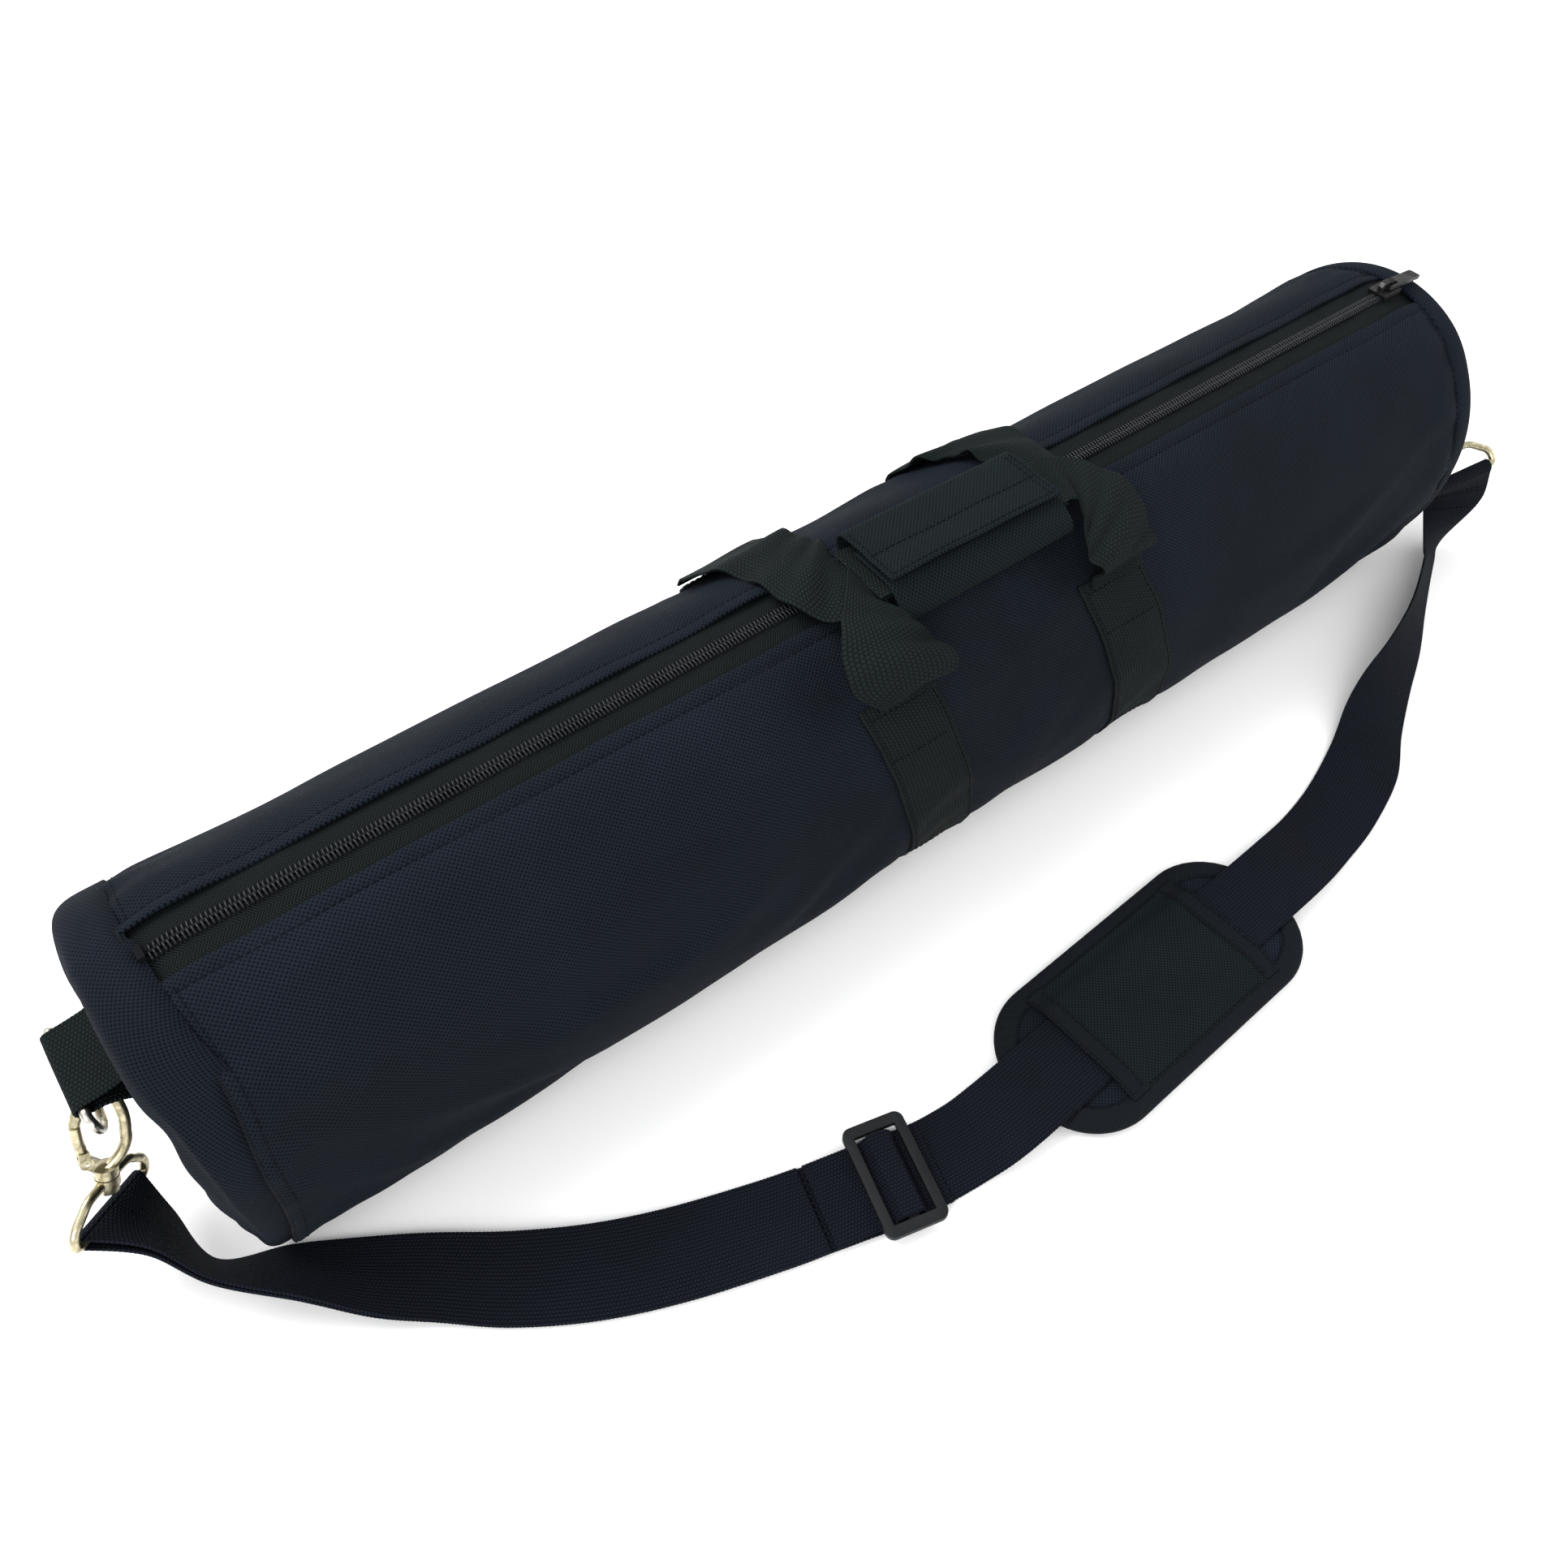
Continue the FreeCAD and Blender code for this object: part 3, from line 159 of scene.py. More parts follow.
# ------------------------------------------------------------------ mesh making
def make_mesh(name, verts, faces, weave=None, shade=True):
    me = bpy.data.meshes.new(name)
    v = np.asarray(verts, float) * MM
    me.vertices.add(len(v))
    me.vertices.foreach_set("co", v.astype(np.float32).ravel())
    f = np.asarray(faces, np.int32)
    n = len(f)
    me.loops.add(f.size)
    me.loops.foreach_set("vertex_index", f.ravel())
    me.polygons.add(n)
    me.polygons.foreach_set("loop_start", np.arange(0, f.size, f.shape[1], dtype=np.int32))
    me.polygons.foreach_set("loop_total", np.full(n, f.shape[1], np.int32))
    me.polygons.foreach_set("use_smooth", np.full(n, shade, bool))
    me.update(calc_edges=True)
    me.validate()
    if weave is not None:
        a = me.attributes.new("weave", "FLOAT_VECTOR", "POINT")
        a.data.foreach_set("vector", np.asarray(weave, np.float32).ravel())
    ob = bpy.data.objects.new(name, me)
    scene.collection.objects.link(ob)
    return ob


def grid_normals(P, closed_u=False):
    if closed_u:
        du = np.roll(P, -1, 0) - np.roll(P, 1, 0)
    else:
        du = np.gradient(P, axis=0)
    dv = np.gradient(P, axis=1)
    return unit(np.cross(du, dv))


def edge_spread(length, step, r):
    """Positions 0..1 along a width, closer together at the two rounded edges."""
    e = [0.0, 0.08 * r, 0.3 * r, 0.65 * r, r]
    n = max(1, int(round((length - 2 * r) / step)))
    mid = list(np.linspace(r, length - r, n + 1))
    p = e[:-1] + mid + [length - x for x in e[:-1][::-1]]
    return np.array(p) / length


def slab_arrays(P, top, bottom, U, V, N=None, round_u=0.0, round_v=0.0, closed_u=False):
    """Closed shell about a middle surface P (nu, nv, 3): top and bottom are heights along the normal. Edges round off over round_u / round_v mm."""
    nu, nv = P.shape[:2]
    if N is None:
        N = grid_normals(P, closed_u)
    f = np.ones((nu, nv))

    def roundoff(d, r):
        return np.sqrt(np.clip(1 - (1 - np.clip(d / r, 0, 1)) ** 2, 0.0016, 1))
    if round_u and not closed_u:
        du = np.linalg.norm(np.diff(P, axis=0), axis=2)
        s = np.concatenate([np.zeros((1, nv)), np.cumsum(du, 0)])
        f = f * roundoff(np.minimum(s, s[-1] - s), round_u)
    if round_v:
        dv = np.linalg.norm(np.diff(P, axis=1), axis=2)
        s = np.concatenate([np.zeros((nu, 1)), np.cumsum(dv, 1)], axis=1)
        f = f * roundoff(np.minimum(s, s[:, -1:] - s), round_v)
    mid = (np.asarray(top) + np.asarray(bottom)) / 2 * np.ones((nu, nv))
    half = (np.asarray(top) - np.asarray(bottom)) / 2 * f
    A = P + N * (mid + half)[..., None]
    B = P + N * (mid - half)[..., None]
    verts = np.concatenate([A.reshape(-1, 3), B.reshape(-1, 3)])
    W = np.stack([np.broadcast_to(U, (nu, nv)), np.broadcast_to(V, (nu, nv)), np.zeros((nu, nv))], axis=2).reshape(-1, 3)
    W2 = W.copy()
    W2[:, 2] = 1
    idx = np.arange(nu * nv).reshape(nu, nv)
    off = nu * nv
    faces = []

    def quads(a, b, c, d):
        faces.append(np.stack([a.ravel(), b.ravel(), c.ravel(), d.ravel()], axis=1))
    if closed_u:
        i0, i1 = idx, np.roll(idx, -1, 0)
    else:
        i0, i1 = idx[:-1], idx[1:]
    quads(i0[:, :-1], i1[:, :-1], i1[:, 1:], i0[:, 1:])
    quads(i0[:, :-1] + off, i0[:, 1:] + off, i1[:, 1:] + off, i1[:, :-1] + off)
    quads(i0[:, 0], i0[:, 0] + off, i1[:, 0] + off, i1[:, 0])
    quads(i0[:, -1], i1[:, -1], i1[:, -1] + off, i0[:, -1] + off)
    if not closed_u:
        quads(idx[0, :-1], idx[0, 1:], idx[0, 1:] + off, idx[0, :-1] + off)
        quads(idx[-1, :-1], idx[-1, :-1] + off, idx[-1, 1:] + off, idx[-1, 1:])
    return verts, np.concatenate(faces), np.concatenate([W, W2])


def slab(name, P, top, bottom, U, V, **kw):
    v, f, w = slab_arrays(P, top, bottom, U, V, **kw)
    return make_mesh(name, v, f, w)


def joined(name, parts):
    """One mesh from several (verts, faces, weave)."""
    vs, fs, ws, n = [], [], [], 0
    for v, f, w in parts:
        vs.append(v)
        fs.append(np.asarray(f) + n)
        ws.append(w)
        n += len(v)
    return make_mesh(name, np.concatenate(vs), np.concatenate(fs), np.concatenate(ws))


def webbing_arrays(A, B, thick, lift=0.0, step=0.55, pitch=1.6, scallop=0.22, cross=1.6, start=0.0, thin_edge=0.6, crown=0.0, seed=1, wobble=0.0):
    """Flat woven strap between two edge lines: rounded selvedge with small loops along it."""
    A, B = respace_pair(np.array(A, float), np.array(B, float), step)
    C = (A + B) / 2
    s = along(C)
    W = unit(B - A)
    width = np.linalg.norm(B - A, axis=1)
    sc = scallop * (0.5 + 0.5 * np.cos(2 * math.pi * s / pitch))[:, None]
    sc2 = scallop * (0.5 + 0.5 * np.cos(2 * math.pi * s / pitch + 1.7))[:, None]
    A2, B2 = A + W * sc, B - W * sc2
    c = edge_spread(float(np.mean(width)), cross, thin_edge)
    P = A2[:, None, :] * (1 - c)[None, :, None] + B2[:, None, :] * c[None, :, None]
    T = unit(np.gradient(C, axis=0))
    N = unit(np.cross(W, T))
    Nn = np.broadcast_to(N[:, None, :], P.shape)
    up_ = np.asarray(lift) if np.ndim(lift) else np.full(len(A), float(lift))
    if np.ndim(lift):
        up_ = np.interp(np.linspace(0, 1, len(A)), np.linspace(0, 1, len(up_)), up_)
    cr = np.interp(np.linspace(0, 1, len(A)), np.linspace(0, 1, np.size(crown)), np.ravel(crown)) if np.ndim(crown) else np.full(len(A), float(crown))
    off = up_[:, None] + cr[:, None] * (1 - (2 * c - 1) ** 2)[None, :]
    if wobble:
        off = off + wobble * waves(s[:, None], c[None, :] * 38, seed, 7, (18, 90), (30, 160))
    P = P + Nn * off[..., None]
    U = (s + start)[:, None] * np.ones_like(c)[None, :]
    Vv = np.ones(len(s))[:, None] * (c * 38.0)[None, :]
    return slab_arrays(P, thick / 2, -thick / 2, U, Vv, N=Nn.copy(), round_u=0.5, round_v=thin_edge), C


def webbing(name, A, B, thick, **kw):
    (v, f, w), C = webbing_arrays(A, B, thick, **kw)
    return make_mesh(name, v, f, w), C


def stitch_arrays(line, normals, pitch=3.2, length=2.5, radius=0.3, lift=0.12, sides=6, offset=0.0):
    """Separate thread stitches along a line that lies on a surface."""
    line = np.asarray(line, float)
    s = along(line)
    nn = np.broadcast_to(np.asarray(normals, float), line.shape)
    at = np.arange(offset + length / 2, s[-1] - length / 2 + 1e-6, pitch)
    if not len(at):
        return None
    f = lambda q, x: np.stack([np.interp(x, s, q[:, k]) for k in range(3)], axis=1)
    rings = [(-0.5, 0.35, -0.28), (-0.34, 0.85, 0.05), (0.0, 1.0, 0.2), (0.34, 0.85, 0.05), (0.5, 0.35, -0.28)]
    ang = np.arange(sides) * 2 * math.pi / sides
    V, F, n = [], [], 0
    for a in at:
        xs = np.array([a + r[0] * length for r in rings])
        c = f(line, xs)
        nv = unit(f(nn, xs))
        t = unit(np.gradient(c, axis=0))
        b = unit(np.cross(nv, t))
        for k, (q, rr, h) in enumerate(rings):
            cc = c[k] + nv[k] * (lift + h * radius)
            V.append(cc + radius * rr * (np.cos(ang)[:, None] * b[k] + np.sin(ang)[:, None] * nv[k]))
        base = n
        for k in range(len(rings) - 1):
            for j in range(sides):
                j2 = (j + 1) % sides
                F.append((base + k * sides + j, base + (k + 1) * sides + j, base + (k + 1) * sides + j2, base + k * sides + j2))
        m = len(rings) * sides
        # small end caps as quads
        F.append((base, base + 1, base + 2, base + 3))
        F.append((base, base + 3, base + 4, base + 5))
        e = base + m - sides
        F.append((e + 3, e + 2, e + 1, e))
        F.append((e + 5, e + 4, e + 3, e))
        n += m
    V = np.concatenate(V)
    w = np.stack([V[:, 0], V[:, 1], V[:, 2]], axis=1)
    return V, np.array(F), w


def stitches(name, runs, body, **kw):
    parts = []
    for r in runs:
        line, nor = r[0], r[1]
        k = dict(kw)
        if len(r) > 2:
            k.update(r[2])
        got = stitch_arrays(line, nor, **k)
        if got is not None:
            parts.append(got)
    ob = joined(name, parts)
    give(ob, "thread", body, "handle_webbing")
    return ob


# ------------------------------------------------------------------ materials
MATS = {}


def nodes_of(name):
    m = bpy.data.materials.new(name)
    m.use_nodes = True
    nt = m.node_tree
    b = nt.nodes["Principled BSDF"]
    return m, nt, b


def new(nt, kind, **kw):
    n = nt.nodes.new(kind)
    for k, v in kw.items():
        setattr(n, k, v)
    return n


def math_node(nt, op, a, b=None):
    n = new(nt, "ShaderNodeMath", operation=op)
    for i, x in enumerate((a, b)):
        if x is None:
            continue
        if isinstance(x, (int, float)):
            n.inputs[i].default_value = x
        else:
            nt.links.new(x, n.inputs[i])
    return n.outputs[0]


def ramp(nt, src, stops):
    r = new(nt, "ShaderNodeValToRGB")
    e = r.color_ramp.elements
    while len(e) > 1:
        e.remove(e[-1])
    e[0].position = stops[0][0]
    e[0].color = (*stops[0][1], 1) if len(stops[0][1]) == 3 else stops[0][1]
    for p, c in stops[1:]:
        q = e.new(p)
        q.color = (*c, 1) if len(c) == 3 else c
    nt.links.new(src, r.inputs[0])
    return r.outputs[0]


def mixed(nt, kind, fac, a, b):
    n = new(nt, "ShaderNodeMix", data_type="RGBA", blend_type=kind)
    for sock, x in ((n.inputs[0], fac), (n.inputs[6], a), (n.inputs[7], b)):
        if isinstance(x, (int, float)):
            sock.default_value = x
        elif isinstance(x, tuple):
            sock.default_value = (*x, 1)
        else:
            nt.links.new(x, sock)
    return n.outputs[2]


def noise(nt, scale, detail=3.0, rough=0.55, vec=None, distortion=0.0):
    n = new(nt, "ShaderNodeTexNoise")
    n.inputs["Scale"].default_value = scale
    n.inputs["Detail"].default_value = detail
    n.inputs["Roughness"].default_value = rough
    n.inputs["Distortion"].default_value = distortion
    if vec is not None:
        nt.links.new(vec, n.inputs["Vector"])
    return n.outputs["Fac"]


def coords(nt):
    return new(nt, "ShaderNodeTexCoord").outputs["Object"]


def weave_axes(nt):
    a = new(nt, "ShaderNodeAttribute", attribute_name="weave")
    sep = new(nt, "ShaderNodeSeparateXYZ")
    nt.links.new(a.outputs["Vector"], sep.inputs[0])
    return sep.outputs[0], sep.outputs[1], a.outputs["Vector"]


def cloth(name, light, dark, pu, pv, style="plain", rough=0.78, sheen=0.25, bump=0.5, depth=0.25, tint=0.18, spec=0.3, yarn=0.35):
    """Woven cloth from the weave attribute (mm along the piece, mm across it)."""
    m, nt, b = nodes_of(name)
    u, v, vec = weave_axes(nt)
    obj = coords(nt)
    # a slow wander keeps the threads from being ruler-straight
    wob = math_node(nt, "MULTIPLY", math_node(nt, "SUBTRACT", noise(nt, 55.0, 1.0, 0.5, obj), 0.5), 0.9)
    uu = math_node(nt, "ADD", u, wob)
    vv = math_node(nt, "ADD", v, wob)
    if style == "plain":
        a = math_node(nt, "SINE", math_node(nt, "MULTIPLY", uu, math.pi / pu))
        c = math_node(nt, "SINE", math_node(nt, "MULTIPLY", vv, math.pi / pv))
        h = math_node(nt, "MULTIPLY", a, c)
    elif style == "rib":
        # warp-faced webbing: columns along the strap, picks across, offset by half in turn
        col = math_node(nt, "ABSOLUTE", math_node(nt, "SINE", math_node(nt, "MULTIPLY", vv, math.pi / pv)))
        half = math_node(nt, "MULTIPLY", math_node(nt, "FLOOR", math_node(nt, "DIVIDE", vv, pv)), pu / 2)
        row = math_node(nt, "ABSOLUTE", math_node(nt, "SINE", math_node(nt, "MULTIPLY", math_node(nt, "ADD", uu, half), math.pi / pu)))
        h = math_node(nt, "SUBTRACT", math_node(nt, "MULTIPLY", math_node(nt, "POWER", col, 0.6), math_node(nt, "POWER", row, 0.6)), 0.45)
        h = math_node(nt, "MULTIPLY", h, 2.4)
    elif style == "cord":
        # grosgrain: ribs across the tape
        row = math_node(nt, "SINE", math_node(nt, "MULTIPLY", uu, 2 * math.pi / pu))
        fine = math_node(nt, "SINE", math_node(nt, "MULTIPLY", vv, 2 * math.pi / pv))
        h = math_node(nt, "ADD", math_node(nt, "MULTIPLY", row, 0.8), math_node(nt, "MULTIPLY", fine, 0.25))
    else:
        # herringbone: diagonal ribs that turn over at each column
        tri = math_node(nt, "PINGPONG", vv, pv)
        h = math_node(nt, "SINE", math_node(nt, "MULTIPLY", math_node(nt, "ADD", uu, math_node(nt, "MULTIPLY", tri, 0.9)), 2 * math.pi / pu))
    fine = noise(nt, 2600.0, 2.0, 0.6, obj)
    h2 = math_node(nt, "ADD", math_node(nt, "MULTIPLY", h, 0.5), 0.5)
    h3 = math_node(nt, "ADD", math_node(nt, "MULTIPLY", h2, 1.0 - yarn * 0.5), math_node(nt, "MULTIPLY", fine, yarn * 0.5))
    col = ramp(nt, h3, [(0.12, dark), (0.36, tuple(d * 0.35 + l * 0.65 for d, l in zip(dark, light))), (0.62, light)])
    broad = noise(nt, 14.0, 3.0, 0.6, obj)
    lo, hi = 1.0 - tint, 1.0 + tint
    tone = ramp(nt, broad, [(0.3, (lo, lo, lo * 0.99)), (0.7, (min(hi, 1.6), min(hi, 1.6), min(hi, 1.6)))])
    col = mixed(nt, "MULTIPLY", 1.0, col, tone)
    # lint and rubbed threads
    lint = noise(nt, 900.0, 2.0, 0.7, obj)
    spot = ramp(nt, lint, [(0.70, (0, 0, 0)), (0.80, (1, 1, 1))])
    col = mixed(nt, "MIX", math_node(nt, "MULTIPLY", spot, 0.20), col, tuple(min(1.0, c * 2.2 + 0.004) for c in light))
    nt.links.new(col, b.inputs["Base Color"])
    r = ramp(nt, broad, [(0.3, (rough - 0.06,) * 3), (0.7, (rough + 0.06,) * 3)])
    nt.links.new(r, b.inputs["Roughness"])
    b.inputs["Sheen Weight"].default_value = sheen
    b.inputs["Sheen Roughness"].default_value = 0.45
    b.inputs["Specular IOR Level"].default_value = spec
    bp = new(nt, "ShaderNodeBump")
    bp.inputs["Strength"].default_value = bump
    bp.inputs["Distance"].default_value = depth * MM
    nt.links.new(h3, bp.inputs["Height"])
    nt.links.new(bp.outputs[0], b.inputs["Normal"])
    MATS[name] = m
    return m


def moulded(name, color, rough=0.45, grain=1800.0, bump=0.08, wear=0.10, coat=0.0, spec=0.25):
    m, nt, b = nodes_of(name)
    obj = coords(nt)
    n1 = noise(nt, grain, 2.0, 0.6, obj)
    n2 = noise(nt, 60.0, 3.0, 0.6, obj)
    col = ramp(nt, n2, [(0.3, tuple(c * (1 - wear) for c in color)), (0.7, tuple(min(1, c * (1 + wear) + 0.002) for c in color))])
    nt.links.new(col, b.inputs["Base Color"])
    r = ramp(nt, n2, [(0.3, (rough - 0.05,) * 3), (0.75, (rough + 0.08,) * 3)])
    nt.links.new(r, b.inputs["Roughness"])
    b.inputs["Coat Weight"].default_value = coat
    b.inputs["Specular IOR Level"].default_value = spec
    bp = new(nt, "ShaderNodeBump")
    bp.inputs["Strength"].default_value = bump
    bp.inputs["Distance"].default_value = 0.1 * MM
    nt.links.new(n1, bp.inputs["Height"])
    nt.links.new(bp.outputs[0], b.inputs["Normal"])
    MATS[name] = m
    return m


def metal(name, light, dark, rough=0.28, scratch=0.25, pit=0.35):
    m, nt, b = nodes_of(name)
    obj = coords(nt)
    n1 = noise(nt, 240.0, 4.0, 0.65, obj, 0.6)
    n2 = noise(nt, 1500.0, 3.0, 0.6, obj)
    col = ramp(nt, n1, [(0.30, dark), (0.46, tuple((a + c) / 2 for a, c in zip(dark, light))), (0.62, light)])
    col = mixed(nt, "MULTIPLY", pit, col, ramp(nt, n2, [(0.35, (0.45, 0.42, 0.38)), (0.55, (1, 1, 1))]))
    nt.links.new(col, b.inputs["Base Color"])
    b.inputs["Metallic"].default_value = 1.0
    r = ramp(nt, n1, [(0.3, (rough + 0.22,) * 3), (0.65, (rough,) * 3)])
    nt.links.new(r, b.inputs["Roughness"])
    bp = new(nt, "ShaderNodeBump")
    bp.inputs["Strength"].default_value = scratch
    bp.inputs["Distance"].default_value = 0.08 * MM
    nt.links.new(n2, bp.inputs["Height"])
    nt.links.new(bp.outputs[0], b.inputs["Normal"])
    MATS[name] = m
    return m


cloth("oxford", (0.0074, 0.0104, 0.0156), (0.0005, 0.0007, 0.0013), 1.04, 0.96, "plain", rough=0.86, sheen=0.0, bump=0.9, depth=0.34, tint=0.20, spec=0.05)
cloth("oxford_green", (0.0066, 0.0102, 0.0118), (0.0006, 0.0010, 0.0012), 1.0, 0.95, "plain", rough=0.86, sheen=0.0, bump=0.8, depth=0.30, tint=0.18, spec=0.05)
cloth("lining", (0.020, 0.021, 0.024), (0.006, 0.006, 0.008), 0.5, 0.5, "plain", rough=0.7, sheen=0.0, bump=0.3, depth=0.1, spec=0.1)
cloth("handle_web", (0.0078, 0.0112, 0.0114), (0.0004, 0.0007, 0.0008), 1.55, 1.75, "rib", rough=0.82, sheen=0.0, bump=1.0, depth=0.55, tint=0.15, spec=0.06)
cloth("strap_web", (0.0064, 0.0082, 0.0132), (0.0004, 0.0006, 0.0012), 1.45, 1.55, "rib", rough=0.82, sheen=0.0, bump=1.0, depth=0.50, tint=0.14, spec=0.06)
cloth("tape", (0.0064, 0.0090, 0.0092), (0.0006, 0.0010, 0.0011), 1.25, 3.4, "herring", rough=0.80, sheen=0.0, bump=0.9, depth=0.32, tint=0.12, spec=0.07)
cloth("binding", (0.0064, 0.0084, 0.0115), (0.0008, 0.0011, 0.0018), 1.15, 0.9, "cord", rough=0.80, sheen=0.0, bump=0.8, depth=0.32, tint=0.14, spec=0.07)
cloth("foam_cloth", (0.30, 0.30, 0.29), (0.22, 0.22, 0.21), 0.7, 0.7, "plain", rough=0.9, sheen=0.0, bump=0.3, depth=0.1)
moulded("coil", (0.0052, 0.0062, 0.0072), rough=0.36, grain=2200.0, bump=0.05, wear=0.2, coat=0.0, spec=0.22)
moulded("buckle", (0.0048, 0.0054, 0.0062), rough=0.50, grain=2600.0, bump=0.25, wear=0.12, spec=0.16)
moulded("thread", (0.0026, 0.0034, 0.0050), rough=0.75, grain=6000.0, bump=0.5, wear=0.25, spec=0.05)
moulded("touch", (0.0070, 0.0078, 0.0084), rough=0.85, grain=900.0, bump=0.9, wear=0.2, spec=0.1)
metal("brass", (0.62, 0.56, 0.38), (0.24, 0.21, 0.13), rough=0.24)
metal("nickel", (0.70, 0.68, 0.62), (0.34, 0.32, 0.27), rough=0.20)
metal("dark_metal", (0.060, 0.060, 0.062), (0.018, 0.018, 0.019), rough=0.36)


def give(ob, mat, body, slot=None, nodes=()):
    ob.data.materials.clear()
    ob.data.materials.append(MATS[mat])
    if body:
        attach(ob, body)
    if nodes:
        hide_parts(*nodes)
    return ob


def repaint(node, mat):
    o = frame["nodes"][node]
    if not o.material_slots:
        o.data.materials.append(MATS[mat])
    for s in o.material_slots:
        s.material = MATS[mat]


# ------------------------------------------------------------------ the bag's section
HALF, MIDH, HEIGHT = 73.5, 81.0, 162.0
R_UP, R_LOW, R_COR = 89.0, 120.0, 40.0
R_TOP = (R_UP ** 2 - MIDH ** 2 - (HALF - R_UP) ** 2) / (2 * (R_UP - MIDH))
FLAT = math.sqrt((R_LOW - R_COR) ** 2 - (MIDH - R_COR) ** 2) - (R_LOW - HALF)
C_TOP, C_UP, C_LOW, C_COR = (0.0, HEIGHT - R_TOP), (HALF - R_UP, MIDH), (HALF - R_LOW, MIDH), (FLAT, R_COR)
A_TOP = math.atan2(C_TOP[1] - C_UP[1], C_TOP[0] - C_UP[0])
A_COR = math.atan2(C_COR[1] - C_LOW[1], C_COR[0] - C_LOW[0])


def section():
    """Dense half section from the top middle down to the base middle: half width, height, outward normal."""
    pts, nor = [], []
    for c, r, a0, a1 in ((C_TOP, R_TOP, math.pi / 2, A_TOP), (C_UP, R_UP, A_TOP, 0.0), (C_LOW, R_LOW, 0.0, A_COR), (C_COR, R_COR, A_COR, -math.pi / 2)):
        for t in np.linspace(0, 1, 400, endpoint=False):
            a = a0 + (a1 - a0) * t
            pts.append((c[0] + r * math.cos(a), c[1] + r * math.sin(a)))
            nor.append((math.cos(a), math.sin(a)))
    for t in np.linspace(0, 1, 60):
        pts.append((FLAT * (1 - t), 0.0))
        nor.append((0.0, -1.0))
    return np.array(pts), np.array(nor)


half_p, half_n = section()
front = half_p * [-1, 1]
back = half_p[::-1][1:]
RING = np.concatenate([front, back])
RING_N = unit(np.concatenate([half_n * [-1, 1], half_n[::-1][1:]]))
RING_S = along(RING)
TOTAL = RING_S[-1]


def ring_at(s):
    s = np.asarray(s, float)
    y = np.interp(s, RING_S, RING[:, 0])
    z = np.interp(s, RING_S, RING[:, 1])
    ny = np.interp(s, RING_S, RING_N[:, 0])
    nz = np.interp(s, RING_S, RING_N[:, 1])
    l = np.hypot(ny, nz)
    return y, z, ny / l, nz / l


def s_front_at_y(y):
    """Arc length of the front half's point with this y near the top (y < 0)."""
    m = len(front) // 3
    return float(np.interp(-y, -front[:m, 0], RING_S[:m]))


SLOT_F = s_front_at_y(-18.5)
SLOT_B = TOTAL - float(np.interp(5.5, half_p[:600, 0], along(half_p)[:600]))
S_BASE = TOTAL / 2
BANDS = {"left": (-41.0, -57.0, -10.0), "right": (82.0, 62.0, 120.0)}


def band_centre(side, s, z):
    xf, xb, x0 = BANDS[side]
    top = np.where(s < S_BASE, xf, xb)
    return x0 + (top - x0) * np.clip(z, 0, 135.0) / 135.0


def seam_x(s, end):
    """Where the end panel is sewn on, round the section."""
    y, z, _, _ = ring_at(s)
    if end < 0:
        base = -334.0 - 7.0 * step01(90 - z, 0, 70) + 5.0 * bump1(z, 138, 26) * (y < 0)
    else:
        base = 335.0 + 4.0 * step01(90 - z, 0, 70)
    return base


sim_field = None


def soft_field(s, x):
    """How far the cloth stands off the plain section, in mm."""
    s, x = np.broadcast_arrays(np.asarray(s, float), np.asarray(x, float))
    y, z, _, _ = ring_at(s)
    hang = step01(z, 3, 26)
    d = 0.55 * waves(x, s, 11, 12, (70, 330), (70, 300)) + 0.30 * waves(x, s, 5, 10, (34, 90), (40, 160))
    # cloth drawn in at the two end seams, with short puckers running out of them
    for end in (-1, 1):
        e = seam_x(s, end)
        q = np.abs(x - e)
        flare = step01(z, 14, 44) * (1 - step01(z, 128, 150)) * (y < 0) if end < 0 else 0.0
        d = d - (2.6 - 3.4 * flare) * np.exp(-(q / 9.0) ** 2)
        d = d - 1.5 * flare * np.exp(-((q - 21) / 12.0) ** 2)
        d = d + 0.85 * np.exp(-(q / 26.0) ** 1.5) * waves(x * 0.25, s, 31 + end, 8, (60, 200), (17, 46))
    # the hem beside the zip lies a little high and wavers
    for sc in (SLOT_F, SLOT_B):
        q = np.abs(s - sc)
        d = d + 0.5 * np.exp(-(q / 7.0) ** 2) * (1 + 0.9 * waves(x, 0 * x, 77 if sc < 100 else 78, 6, (22, 120), (50, 60)))
    q = s - SLOT_F
    d = d - 0.7 * np.exp(-((q - 6.4) / 1.7) ** 2)
    q = SLOT_B - s
    d = d - 0.7 * np.exp(-((q - 6.4) / 1.7) ** 2)
    # rucks behind the zip towards the left end
    d = d + 1.5 * np.exp(-((x + 236) / 26.0) ** 2 - ((SLOT_B - s - 5) / 7.0) ** 2) + 0.8 * np.exp(-((x + 180) / 30.0) ** 2 - ((SLOT_B - s - 9) / 9.0) ** 2)
    # dent under the legs of the handles, and a slack belly between the bands
    d = d - 1.4 * np.exp(-((x - 18) / 60.0) ** 2) * np.exp(-((s - 78) / 34.0) ** 2)
    d = d + 0.9 * np.exp(-((x + 200) / 110.0) ** 2) * np.exp(-((s - 120) / 60.0) ** 2) + 0.7 * np.exp(-((x - 230) / 90.0) ** 2) * np.exp(-((s - 120) / 60.0) ** 2)
    near_slot = np.minimum(np.abs(s - SLOT_F), np.abs(s - SLOT_B))
    if sim_field is not None:
        d = d + sim_field(s, x) * step01(near_slot, 12, 40)
    d = np.where(near_slot < 24, np.maximum(d, -0.75 - 2.0 * step01(near_slot, 11, 24) - 2.6 * step01(np.abs(x), 318, 334)), d)
    for side in BANDS:
        c = band_centre(side, s, z)
        q = np.abs(x - c)
        d = d - 0.55 * np.exp(-((q - 21.5) / 5.0) ** 2)
    return np.clip(d, -4.5, 3.5) * hang


